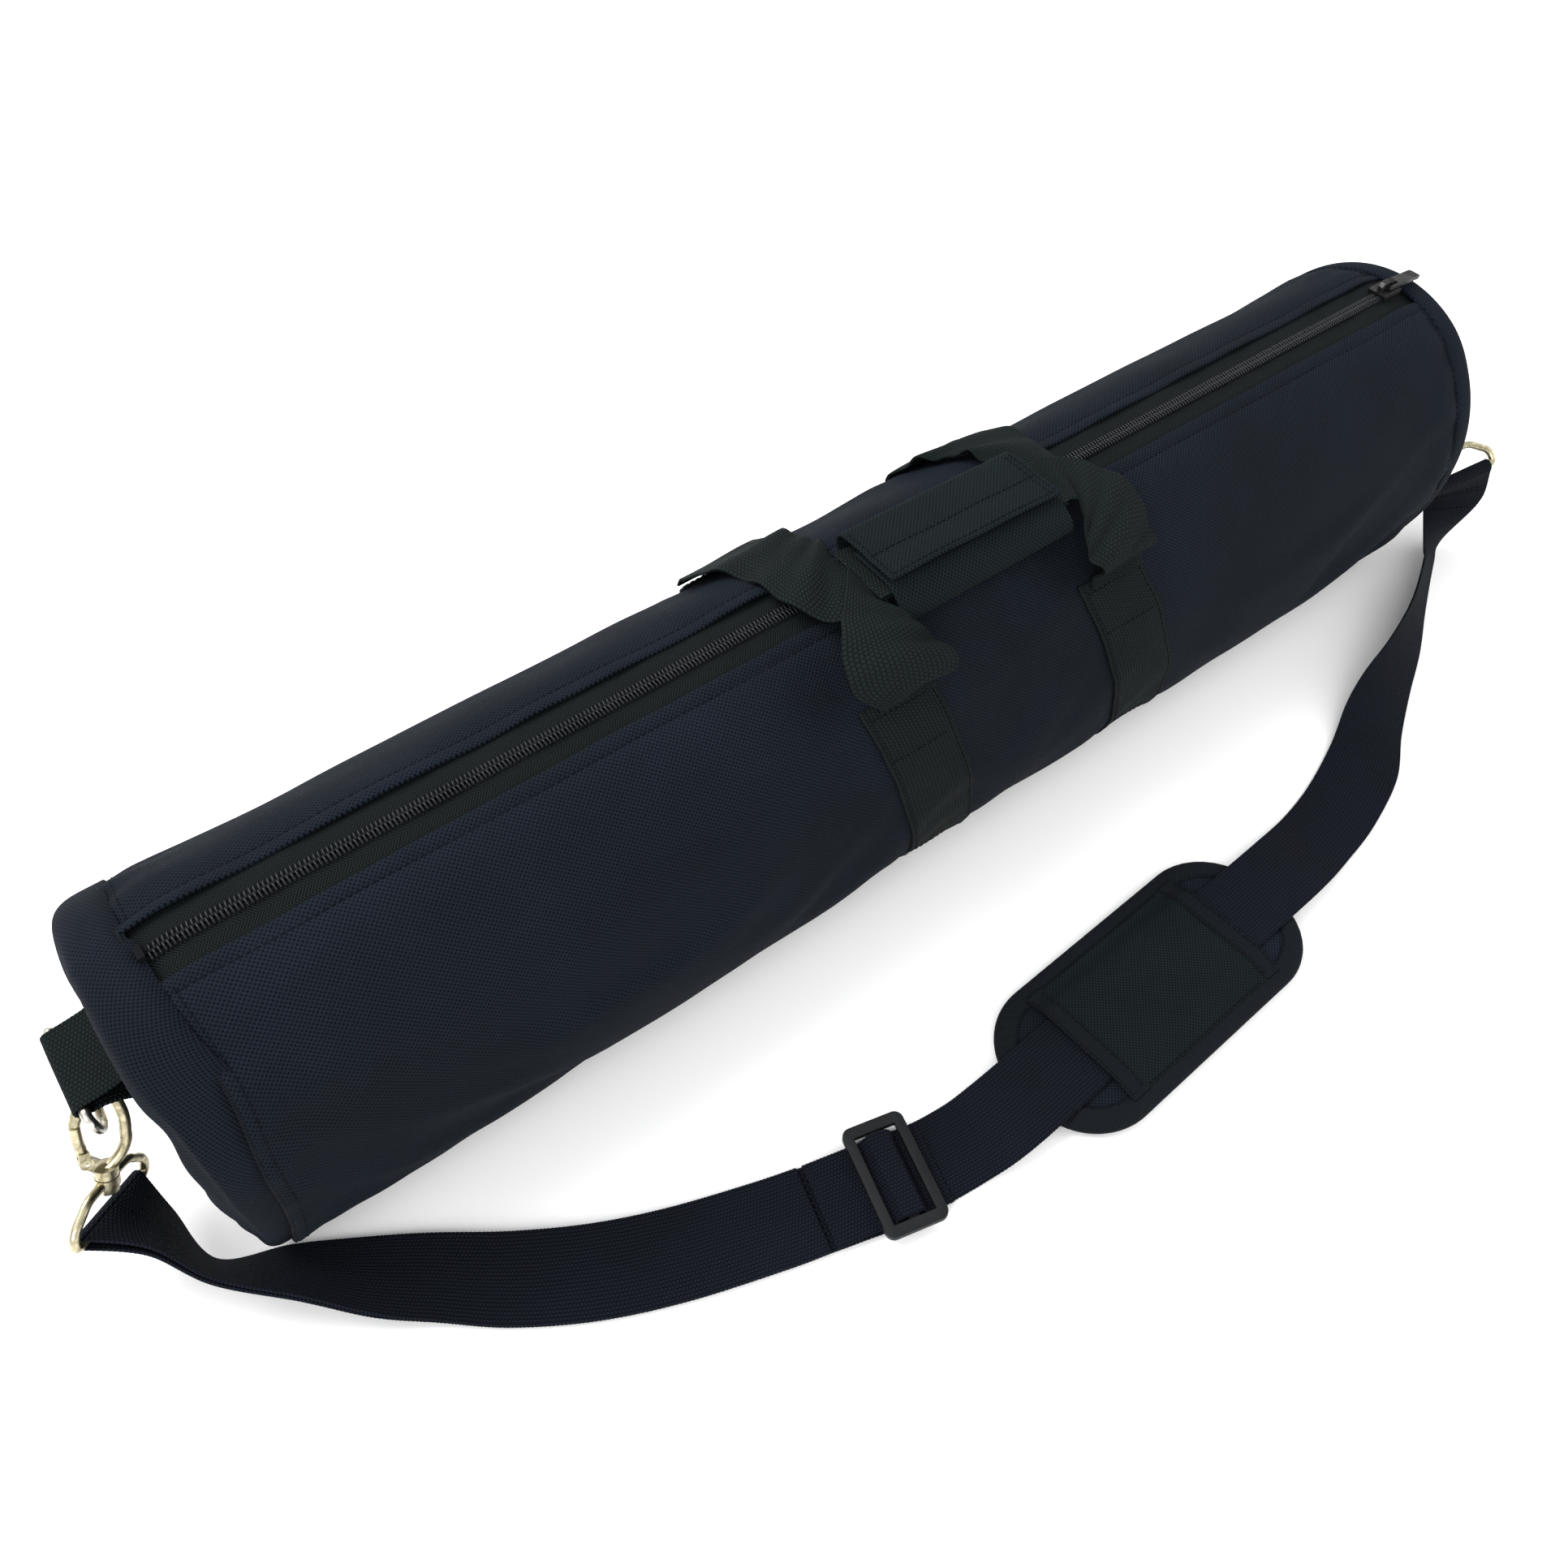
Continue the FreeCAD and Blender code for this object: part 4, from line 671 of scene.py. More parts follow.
def recess(s, x):
    """The webbing bands press their own depth into the cloth where the bag rests, and less above."""
    s, x = np.broadcast_arrays(np.asarray(s, float), np.asarray(x, float))
    y, z, _, _ = ring_at(s)
    out = np.zeros(s.shape)
    low = 1 - step01(z, 4, 22)
    for side in BANDS:
        c = band_centre(side, s, z)
        m = 1 - step01(np.abs(x - c), 18.4, 20.2)
        out = np.maximum(out, m * (z < 136.5) * (0.45 + 0.95 * low))
    return out


def bag_point(s, x, lift=0.0, with_recess=False):
    s, x = np.broadcast_arrays(np.asarray(s, float), np.asarray(x, float))
    y, z, ny, nz = ring_at(s)
    d = soft_field(s, x) + lift
    if with_recess:
        d = d - recess(s, x)
    return np.stack([x, y + ny * d, z + nz * d], axis=-1)


def bag_normal(s, x):
    e = 0.6
    a = bag_point(s + e, x) - bag_point(s - e, x)
    b = bag_point(s, x + e) - bag_point(s, x - e)
    n = unit(np.cross(a, b))
    _, _, ny, nz = ring_at(s)
    sign = np.sign(n[..., 1] * ny + n[..., 2] * nz)
    return n * np.where(sign == 0, 1, sign)[..., None]


# ------------------------------------------------------------------ cloth simulation of the bag's skin
def simulate_skin():
    """Slightly over-cut cloth, pinned at its seams, hem and base, under light pressure and a quarter of gravity: returns its stand-off, squeezed to within 2.6 mm, on an even grid of section length and x."""
    ns, nx = 112, 150
    ss = np.linspace(SLOT_F, SLOT_B, ns)
    xs = np.linspace(-334, 334, nx)
    S2, X2 = np.meshgrid(ss, xs, indexing="ij")
    y, z, ny, nz = ring_at(S2)
    r = np.random.default_rng(4)
    start = 0.25 * waves(X2, S2, 91, 14, (40, 160), (30, 120))
    P = np.stack([X2, y + ny * start, z + nz * start], axis=-1)
    idx = np.arange(ns * nx).reshape(ns, nx)
    F = np.stack([idx[:-1, :-1].ravel(), idx[1:, :-1].ravel(), idx[1:, 1:].ravel(), idx[:-1, 1:].ravel()], axis=1)
    ob = make_mesh("skin_sim", P.reshape(-1, 3), F)
    pin = np.zeros((ns, nx))
    pin[:2] = 1
    pin[-2:] = 1
    pin[:, :2] = 1
    pin[:, -2:] = 1
    pin[z < 1.5] = 1
    for side in BANDS:
        pin = np.maximum(pin, 0.30 * (np.abs(X2 - band_centre(side, S2, z)) < 17))
    vg = ob.vertex_groups.new(name="pin")
    flat = pin.ravel()
    for w in np.unique(flat):
        if w > 0:
            vg.add([int(i) for i in np.nonzero(flat == w)[0]], float(w), "REPLACE")
    mod = ob.modifiers.new("cloth", "CLOTH")
    c = mod.settings
    c.quality = 6
    c.mass = 0.25
    c.tension_stiffness = 40
    c.compression_stiffness = 40
    c.shear_stiffness = 18
    c.bending_stiffness = 9.0
    c.tension_damping = 12
    c.compression_damping = 12
    c.shear_damping = 12
    c.bending_damping = 1.0
    c.air_damping = 4.0
    c.vertex_group_mass = "pin"
    c.pin_stiffness = 1.0
    c.shrink_min = -0.012
    c.use_pressure = True
    c.uniform_pressure_force = 3.0
    c.effector_weights.gravity = 0.25
    mod.collision_settings.use_collision = False
    mod.point_cache.frame_start = 1
    mod.point_cache.frame_end = 22
    scene.frame_start, scene.frame_end = 1, 22
    for f in range(1, 23):
        scene.frame_set(f)
    dg = bpy.context.evaluated_depsgraph_get()
    ev = ob.evaluated_get(dg)
    me = ev.to_mesh()
    q = np.zeros(len(me.vertices) * 3, np.float32)
    me.vertices.foreach_get("co", q)
    ev.to_mesh_clear()
    q = q.reshape(ns, nx, 3).astype(float) / MM
    d = (q[..., 1] - y) * ny + (q[..., 2] - z) * nz
    bpy.data.objects.remove(ob)
    scene.frame_set(1)
    d = np.nan_to_num(d)
    k = np.array([1, 2, 1]) / 4.0
    for _ in range(2):
        d = np.pad(d, ((1, 1), (0, 0)), mode="edge")
        d = k[0] * d[:-2] + k[1] * d[1:-1] + k[2] * d[2:]
        d = np.pad(d, ((0, 0), (1, 1)), mode="edge")
        d = k[0] * d[:, :-2] + k[1] * d[:, 1:-1] + k[2] * d[:, 2:]
    print("skin cloth stand-off mm: min %.2f mean %.2f max %.2f, beyond 2.6 mm on %.0f %% of the grid" % (d.min(), d.mean(), d.max(), 100 * (np.abs(d) > 2.6).mean()))
    d = d - np.clip(d.mean(), 0, None) * 0.7
    d = 2.6 * np.tanh(d / 2.6)
    return ss, xs, d


def grid_lookup(ss, xs, d):
    def f(s, x):
        a = np.clip((s - ss[0]) / (ss[-1] - ss[0]) * (len(ss) - 1), 0, len(ss) - 1.001)
        b = np.clip((x - xs[0]) / (xs[-1] - xs[0]) * (len(xs) - 1), 0, len(xs) - 1.001)
        i, j = a.astype(int), b.astype(int)
        p, q = a - i, b - j
        return d[i, j] * (1 - p) * (1 - q) + d[i + 1, j] * p * (1 - q) + d[i, j + 1] * (1 - p) * q + d[i + 1, j + 1] * p * q
    return f


sim_field = grid_lookup(*simulate_skin())

# ------------------------------------------------------------------ bag shell
s_mid = np.arange(SLOT_F + 9, SLOT_B - 9, 3.2)
s_list = np.concatenate([SLOT_F + np.array([0, 0.12, 0.4, 0.9, 1.4, 2.2, 3.4, 4.6, 5.4, 6.0, 6.6, 7.2, 7.9]), s_mid, SLOT_B - np.array([0, 0.12, 0.4, 0.9, 1.4, 2.2, 3.4, 4.6, 5.4, 6.0, 6.6, 7.2, 7.9])[::-1]])
t_mid = np.linspace(9 / 668.0, 1 - 9 / 668.0, 212)
ends = np.array([0, 0.12, 0.4, 0.9, 1.6, 2.6, 4.0, 6.0]) / 668.0
t_list = np.concatenate([ends, t_mid, 1 - ends[::-1]])
x0, x1 = seam_x(s_list, -1), seam_x(s_list, 1)
SX = x0[:, None] + (x1 - x0)[:, None] * t_list[None, :]
SS = np.broadcast_to(s_list[:, None], SX.shape)
P = bag_point(SS, SX, 0.0, True)
_, _, ny, nz = ring_at(SS)
NN = np.stack([np.zeros_like(ny), ny, nz], axis=-1)
edge = np.minimum(np.minimum(SS - SLOT_F, SLOT_B - SS), np.minimum(SX - x0[:, None], x1[:, None] - SX))
deep = 2.4 + 6.2 * step01(edge, 3, 30)
v_, f_, w_ = slab_arrays(P - NN * 1.2, 1.2, -(deep - 1.2), SX, SS, N=NN, round_u=1.3, round_v=1.3)
shell = make_mesh("bag_shell", v_, f_, w_)
give(shell, "oxford", "bag", "shell_fabric", ["front_panel", "back_panel", "front_padding", "back_padding", "front_lining", "back_lining"])


# ------------------------------------------------------------------ end panels
def end_panel(end):
    n_s = 190
    s = np.linspace(0, TOTAL, n_s, endpoint=False)
    if end < 0:
        s = s[::-1]
    phi = np.concatenate([np.linspace(0, 0.2, 6, endpoint=False), np.linspace(0.2, math.pi / 2 - 0.02, 34)])
    y, z, ny_, nz_ = ring_at(s)
    sx = seam_x(s, end)
    cz = 86.0
    S2, F2 = np.meshgrid(s, phi, indexing="ij")
    n = 4.2 if end > 0 else 5.6
    rho = np.cos(F2) ** (2 / n)
    out = np.sin(F2) ** (2 / n)
    flat_x = 354.2 + (2.6 * step01(z, 96, 130) if end < 0 else 0.0)
    deep_ = flat_x - np.abs(sx) + 1.5
    start_in = 1.5
    fall = np.exp(-((1 - rho) / 0.05) ** 2)
    lip = (step01(z, 12, 40) * (1 - step01(z, 132, 152)) * (y < 0) * (1.0 if end < 0 else 0.35))[:, None]
    Y = (y[:, None]) * rho * (1 - (0.018 + 0.022 * lip) * fall)
    Z = cz + (z[:, None] - cz) * rho * (1 - (0.018 + 0.022 * lip) * fall)
    Z = np.maximum(Z, 0.15)
    start_in = start_in + 3.5 * lip
    deep_ = deep_[:, None] + 3.5 * lip
    X = np.abs(sx)[:, None] - start_in + deep_ * out
    # soft folds: shallow hollows running down from the tab, and puckers out of the seam
    ripple = 1.3 * waves(Y * 1.0, Z, 61 + end, 9, (40, 140), (30, 120)) * np.sin(F2) ** 2
    ripple = ripple - 2.6 * lip * np.exp(-((1 - rho - 0.10) / 0.07) ** 2)
    if end < 0:
        ripple = ripple - 2.4 * np.exp(-((Y + 34 + 0.32 * (Z - 80)) / 9.0) ** 2) * step01(Z, 20, 60) * (1 - step01(Z, 118, 142)) * np.sin(F2) ** 2
        ripple = ripple + 1.3 * np.exp(-((Y + 52) / 8.0) ** 2) * np.sin(F2) ** 2
    X = X + ripple
    # the sewn strip of the tab holds the cloth flat
    ty = 8.0 if end < 0 else -8.0
    m = (1 - step01(np.abs(Y - ty), 17, 27)) * step01(Z, 30, 48) * (1 - step01(Z, 126, 140)) * (rho < 0.93)
    X = X * (1 - m) + 353.9 * m
    P = np.stack([X * (1 if end > 0 else -1), Y, Z], axis=-1)
    arm = np.linalg.norm(np.diff(P, axis=1), axis=2)
    arm = np.concatenate([arm, np.hypot(Y[:, -1:], Z[:, -1:] - cz)], axis=1)
    arc = np.cumsum(arm[:, ::-1], axis=1)[:, ::-1]
    out_y, out_z = y, z - cz
    nrm = np.hypot(out_y, out_z)
    U = arc * (out_y / nrm)[:, None]
    V = arc * (out_z / nrm)[:, None]
    thick = 2.4 + 5.6 * step01(phi, 0.25, 0.8)
    verts, faces, weave = slab_arrays(P, 0.0, -thick[None, :] * np.ones((n_s, 1)), U, V, closed_u=True)
    ob = make_mesh("end_panel_left" if end < 0 else "end_panel_right", verts, faces, weave)
    side = "left" if end < 0 else "right"
    give(ob, "oxford", "bag", "shell_fabric", [side + "_end_panel", side + "_end_padding", side + "_end_lining"])
    return P


END_P = {-1: end_panel(-1), 1: end_panel(1)}


def end_x(end, y, z):
    """Outer face of an end panel at a height and width."""
    g = END_P[end].reshape(-1, 3)
    d = (g[:, 1] - y) ** 2 + (g[:, 2] - z) ** 2
    k = np.argsort(d)[:4]
    w = 1 / (d[k] + 0.5)
    return float((g[k, 0] * w).sum() / w.sum())


# rolled seam edge just inside the shell's lip at each end
for end, name in ((-1, "seam_roll_left"), (1, "seam_roll_right")):
    s = np.linspace(SLOT_F - 12, SLOT_B + 12, 420)
    sw = np.mod(s, TOTAL)
    e = seam_x(sw, end) + end * 0.2
    y, z, ny, nz = ring_at(sw)
    d = np.clip(soft_field(sw, e), -4.5, 3.0) - 1.15
    C = np.stack([e, y + ny * d, np.maximum(z + nz * d, 0.95)], axis=-1)
    T = unit(np.gradient(C, axis=0))
    A1 = unit(np.cross(T, np.array([1.0, 0, 0])))
    A2 = unit(np.cross(A1, T))
    ang = np.arange(8) * 2 * math.pi / 8
    rr = 0.85
    R = C[:, None, :] + rr * (np.cos(ang)[None, :, None] * A1[:, None, :] + np.sin(ang)[None, :, None] * A2[:, None, :])
    n = len(C)
    idx = np.arange(n * 8).reshape(n, 8)
    q = np.stack([idx[:-1].ravel(), np.roll(idx, -1, 1)[:-1].ravel(), np.roll(idx, -1, 1)[1:].ravel(), idx[1:].ravel()], axis=1)
    caps = np.array([[0, 1, 2, 3], [0, 3, 4, 7], [4, 5, 6, 7], [n * 8 - 8, n * 8 - 5, n * 8 - 6, n * 8 - 7], [n * 8 - 8, n * 8 - 1, n * 8 - 4, n * 8 - 5], [n * 8 - 4, n * 8 - 1, n * 8 - 2, n * 8 - 3]])
    w = np.stack([np.repeat(along(C), 8), np.tile(ang, n) * rr, np.zeros(n * 8)], axis=1)
    ob = make_mesh(name, R.reshape(-1, 3), np.concatenate([q, caps]), w)
    give(ob, "binding", "bag", "shell_fabric")

# ------------------------------------------------------------------ handle bands round the belly
band_edges = {}
for side in BANDS:
    zs = RING[:, 1]
    nf = len(front)
    sa = float(np.interp(-137.5, -zs[:nf], RING_S[:nf]))
    sb = float(np.interp(137.5, zs[nf:], RING_S[nf:]))
    s = np.arange(sa, sb, 0.8)
    y, z, _, _ = ring_at(s)
    c = edge_spread(38.0, 1.9, 0.6)
    cen = band_centre(side, s, np.minimum(z, 137))
    sc = 0.2 * (0.5 + 0.5 * np.cos(2 * math.pi * s / 1.6))
    X = cen[:, None] + (c[None, :] - 0.5) * (38.0 - 2 * sc[:, None])
    S2 = np.broadcast_to(s[:, None], X.shape)
    low = 1 - step01(z, 4, 22)
    lift = 0.35 - 1.02 * low
    P = bag_point(S2, X, lift[:, None])
    P[..., 2] = np.maximum(P[..., 2], 0.67)
    N = bag_normal(S2, X)
    V = np.ones(len(s))[:, None] * (c * 38.0)[None, :]
    v_, f_, w_ = slab_arrays(P, 0.65, -0.65, S2, V, N=N, round_u=0.5, round_v=0.6)
    ob = make_mesh("band_" + side, v_, f_, w_)
    give(ob, "handle_web", "bag", "handle_webbing", ["handle_band_" + side])
    band_edges[side] = (s, cen, lift)

runs = []
for side in BANDS:
    s, cen, lift = band_edges[side]
    for q in (-16.4, 16.4):
        line = bag_point(s, cen + q, lift + 0.62)
        line[:, 2] = np.maximum(line[:, 2], 1.25)
        nor = bag_normal(s, cen + q)
        _, z, _, _ = ring_at(s)
        keep_ = z > 8
        nb = int(np.argmax(~keep_)) if (~keep_).any() else len(s)
        runs.append((line[:nb], nor[:nb]))
        last = len(s) - int(np.argmax(~keep_[::-1]))
        runs.append((line[last:], nor[last:]))
    _, z, _, _ = ring_at(s)
    for zt in (133.0, 114.0, 30.0, 33.5):
        for half_ in (0, 1):
            ks = np.nonzero((s < S_BASE) if half_ == 0 else (s > S_BASE))[0]
            k = ks[int(np.argmin(np.abs(z[ks] - zt)))]
            q = np.linspace(-16, 16, 30)
            line = bag_point(np.full(30, s[k]), cen[k] + q, lift[k] + 0.62)
            runs.append((line, bag_normal(np.full(30, s[k]), cen[k] + q)))
stitches("band_stitching", runs, "bag", pitch=3.0, length=2.3, radius=0.26)

# ------------------------------------------------------------------ zip
ZY = -6.5


def top_point(y, x, lift):
    y, x = np.broadcast_arrays(np.asarray(y, float), np.asarray(x, float))
    q = 334.5 - np.abs(x)
    dip = -2.6 * np.exp(-(np.maximum(q, 0) / 9.0) ** 2)
    r = R_TOP + lift + dip
    return np.stack([x, y, C_TOP[1] + np.sqrt(np.maximum(r * r - y * y, 1))], axis=-1)


for where, ya, yb, node in (("front", -26.5, ZY - 0.35, "zip_tape_front"), ("back", ZY + 0.35, 13.5, "zip_tape_back")):
    xs = np.concatenate([[-336, -335.6], np.arange(-335, 335.1, 2.5), [335.6, 336]])
    c = edge_spread(yb - ya, 1.3, 0.35)
    Y = ya + (yb - ya) * c
    near = np.exp(-((Y - ZY) / 6.0) ** 2)
    lift = -2.15 + 0.45 * near
    wav = 0.25 * waves(xs[None, :], Y[:, None], 12, 8, (22, 90), (14, 40))
    YY, XX = np.meshgrid(Y, xs, indexing="ij")
    P = top_point(YY, XX, lift[:, None] + wav)
    # Y rises across rows, so turn the order round to face up
    P = P[::-1]
    U, V = XX[::-1], (YY - ZY)[::-1]
    v_, f_, w_ = slab_arrays(P, 0.32, -0.32, U, np.abs(V) + 0.4, round_u=0.35, round_v=0.35)
    ob = make_mesh("tape_" + where, v_, f_, w_)
    give(ob, "tape", "bag", "zip_tape", [node])

for where, sg, node in (("front", -1, "zip_coil_front"), ("back", 1, "zip_coil_back")):
    pitch = 1.7
    xs = np.arange(-328.4, 328.5, pitch) + (0.0 if sg < 0 else pitch / 2)
    shape = np.array([(3.15, -0.9, 0.10), (3.25, 0.10, 0.05), (2.6, 0.92, 0.0), (1.5, 1.12, -0.10), (0.5, 0.95, -0.22), (-0.35, 0.42, -0.30), (-0.45, -0.15, -0.32)])
    rad = np.array([0.34, 0.44, 0.47, 0.47, 0.50, 0.52, 0.36])
    sides = 6
    ang = np.arange(sides) * 2 * math.pi / sides
    yc, zc, dx = sg * shape[:, 0], shape[:, 1], shape[:, 2]
    loc = np.stack([dx, yc, zc], axis=1)
    T = unit(np.gradient(loc, axis=0))
    X1 = np.array([1.0, 0, 0])
    B = unit(np.cross(T, X1))
    A1 = unit(np.cross(B, T))
    tooth = loc[:, None, :] + rad[:, None, None] * (np.cos(ang)[None, :, None] * A1[:, None, :] + np.sin(ang)[None, :, None] * B[:, None, :])
    k = len(shape)
    idx = np.arange(k * sides).reshape(k, sides)
    q = np.stack([idx[:-1].ravel(), idx[1:].ravel(), np.roll(idx, -1, 1)[1:].ravel(), np.roll(idx, -1, 1)[:-1].ravel()], axis=1)
    e = k * sides - sides
    caps = np.array([[0, 1, 2, 3], [0, 3, 4, 5], [e + 3, e + 2, e + 1, e], [e + 5, e + 4, e + 3, e]])
    tf = np.concatenate([q, caps])
    if sg > 0:
        tf = tf[:, ::-1]
    centre = top_point(np.full(len(xs), ZY), xs, -1.20)
    jit = np.random.default_rng(3 if sg < 0 else 9).normal(0, 0.03, (len(xs), 3))
    V = (centre + jit)[:, None, None, :] + tooth[None]
    V = V.reshape(-1, 3)
    F = (tf[None] + (np.arange(len(xs)) * k * sides)[:, None, None]).reshape(-1, 4)
    ob = make_mesh("coil_" + where, V, F, V.copy())
    give(ob, "coil", "bag", "zip_coil", [node])

# stitch lines: zip tape sewn in, both sides, and the seams at the ends
runs = []
xs = np.arange(-331, 331.1, 1.0)
for sc, sgn in ((SLOT_F, 1), (SLOT_B, -1)):
    for off in (6.4,):
        s = np.full(len(xs), sc + sgn * off) + 0.35 * waves(xs, xs * 0, 19, 5, (60, 200), (50, 60))
        runs.append((bag_point(s, xs), bag_normal(s, xs), dict(lift=0.02)))
stitches("zip_stitching", runs, "bag", pitch=3.1, length=2.5, radius=0.27)
runs = []
for end in (-1, 1):
    s = np.arange(SLOT_F + 4, SLOT_B - 4, 0.9)
    x = seam_x(s, end) - end * 4.2
    _, z, _, _ = ring_at(s)
    ok = z > 3
    brk = np.nonzero(~ok)[0]
    for a, b in ((0, brk[0]), (brk[-1] + 1, len(s))):
        runs.append((bag_point(s[a:b], x[a:b]), bag_normal(s[a:b], x[a:b]), dict(lift=0.02)))
stitches("seam_stitching", runs, "bag", pitch=3.3, length=2.6, radius=0.26)


def body_name(node):
    return body_of(frame["nodes"][node])[0]


def even_lift(A, B, lift):
    s = along((np.array(A) + np.array(B)) / 2)
    return np.interp(np.linspace(0, s[-1], 400), s, lift)


# ------------------------------------------------------------------ handle legs and the grip
GRIP_A = -0.02
GO = np.array([17.0, -17.0, 164.6])
GX = np.array([math.cos(GRIP_A), math.sin(GRIP_A), 0])
GY = np.array([-math.sin(GRIP_A), math.cos(GRIP_A), 0])
UP = np.array([0, 0, 1.0])


def gp(x, y, z):
    return tuple(GO + GX * x + GY * y + UP * z)


ZF, ZB = 6.2, 3.9
def side_y(z):
    """Half width of the bag's section at a height above its widest part."""
    up_part = half_p[half_p[:, 1] > MIDH]
    return float(np.interp(z, up_part[::-1, 1], up_part[::-1, 0]))


def root(x, sgn):
    """First two stations of a leg: under the end of its band, then just above it."""
    return [(x, sgn * (side_y(134.0) + 0.5), 134.0), (x, sgn * (side_y(139.5) + 2.6), 139.5)]


LEGS = {
    "front_left": (root(-52, -1) + [(-55, -61, 147), (-67, -59, 156), (-66, -47, 164.5), (-54, -31, 170.5), gp(-50.5, 7, ZF)],
                   root(-23, -1) + [(-22, -63, 147), (-19, -61, 156), (-27, -50, 163), (-30, -40, 168.5), gp(-50.5, -15, ZF)]),
    "front_right": (root(100, -1) + [(102, -58, 147), (98, -58, 155.5), (100, -47, 163), (98, -28, 169), (84, -12, 172), gp(50.5, 13, ZF)],
                    root(69, -1) + [(68, -61, 148), (61, -58, 157), (66, -46, 163.5), (74, -35, 168), gp(50.5, -15, ZF)]),
    "back_left": (root(-76, 1) + [(-78, 46, 147), (-73, 37, 153.5), (-68, 25, 159.5), (-65, 11, 164), (-64, -8, 165), (-53, -26, 165), gp(-50.5, -15, ZB)],
                  root(-38, 1) + [(-35, 45.5, 148), (-30, 36, 154.5), (-27, 24, 160), (-29, 12, 165), (-33, 4, 167), gp(-50.5, 13, ZB)]),
    "back_right": (root(81, 1) + [(84, 46, 147), (90, 37, 153.5), (93, 24, 160), (90, 12, 165), (87, -4, 167), (79, -22, 167), gp(50.5, -13, ZB)],
                   root(43, 1) + [(46, 46.5, 147), (54, 38, 154.5), (60, 27, 160.5), (61, 17, 165), (62, 7, 167.5), gp(50.5, 13, ZB)]),
}


def even(line, count):
    s = along(line)
    at = np.linspace(0, s[-1], count)
    return np.stack([np.interp(at, s, line[:, k]) for k in range(3)], axis=1)


def pleats(A, B, name):
    """Soft folds across a leg where the webbing is gathered to turn."""
    s = along((A + B) / 2) / along((A + B) / 2)[-1]
    T = unit(np.gradient((A + B) / 2, axis=0))
    N = unit(np.cross(unit(B - A), T))
    r = np.random.default_rng(sum(map(ord, name)))
    env = step01(s, 0.08, 0.3) * (1 - step01(s, 0.90, 0.99))
    ph = r.uniform(0, 6.28, 4)
    a = env * (1.5 * np.sin(2 * math.pi * 2.6 * s + ph[0]) + 0.7 * np.sin(2 * math.pi * 5.3 * s + ph[1]))
    b = env * (1.6 * np.sin(2 * math.pi * 2.9 * s + ph[2]) + 0.8 * np.sin(2 * math.pi * 5.9 * s + ph[3]))
    return A + N * a[:, None], B + N * b[:, None]


for name, (a, b) in LEGS.items():
    A, B = even(smooth(a, 16), 97), even(smooth(b, 16), 97)
    A, B = pleats(A, B, name)
    s = along((A + B) / 2)
    n_ = unit(np.cross(unit(B[40] - A[40]), unit((A[42] + B[42] - A[38] - B[38]) / 2)))
    out_ = n_.dot(np.array([0, (A[40, 1] + B[40, 1]) / 2, (A[40, 2] + B[40, 2]) / 2 - 90.0]))
    ob, C = webbing("leg_" + name, A, B, 1.35, step=0.6, crown=2.2 * (1 if out_ > 0 else -1) * bump1(np.linspace(0, 1, 60), 0.5, 0.26), wobble=0.7, seed=len(name) + ord(name[-2]), thin_edge=0.6)
    give(ob, "handle_web", None, "handle_webbing", ["handle_leg_" + name])
    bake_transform(ob, "bag", "grip", (0, 0, 0.138), (0, 0, 0.172))

for name, z in (("front", ZF), ("back", ZB)):
    A = np.array([gp(-51.5, -16, z), gp(51.5, -16, z)])
    B = np.array([gp(-51.5, 16, z), gp(51.5, 16, z)])
    ob, C = webbing("run_" + name, A, B, 1.25, step=0.9)
    give(ob, "handle_web", "grip", "handle_webbing", ["handle_run_" + name])

WRAP = [(9, 8.6), (-9, 8.5), (-17, 7.6), (-22, 5.2), (-24.6, 1.6), (-23.6, -1.8), (-20, -3.0), (-15, -1.6), (-8, 0.8), (4, 1.3), (15.5, 1.5), (19.5, 3.2), (20.8, 6.6), (20, 10), (17, 11.9), (6, 12.5), (-6, 12.6), (-15.5, 12.0)]
w2 = respace(smooth([(0, y, z) for y, z in WRAP], 10), 0.8)
wl = along(w2)
x = (edge_spread(92.0, 1.6, 1.0) - 0.5) * 92.0
flap = step01(wl, wl[-1] - 34, wl[-1] - 20)
YY = np.repeat(w2[:, 1:2], len(x), 1)
ZZ = np.repeat(w2[:, 2:3], len(x), 1)
XX = np.repeat(x[None, :], len(wl), 0)
ripple = 0.35 * waves(XX, wl[:, None], 41, 8, (26, 120), (30, 90)) * flap[:, None]
curl = 1.1 * flap[:, None] * np.exp(-((wl[-1] - wl[:, None]) / 7.0) ** 2) * (0.4 + 0.6 * np.exp(-((XX + 20) / 26.0) ** 2))
dip = -0.5 * flap[:, None] * np.exp(-((YY + 1) / 3.0) ** 2)
droop = -3.6 * step01(-YY, 13, 22) * (1 - step01(ZZ, 8.4, 11)) * (1 - 0.75 * (XX + 46) / 92.0)
ZZ = ZZ + droop
P = GO + GX * XX[..., None] + GY * YY[..., None] + UP * (ZZ + ripple + curl + dip)[..., None]
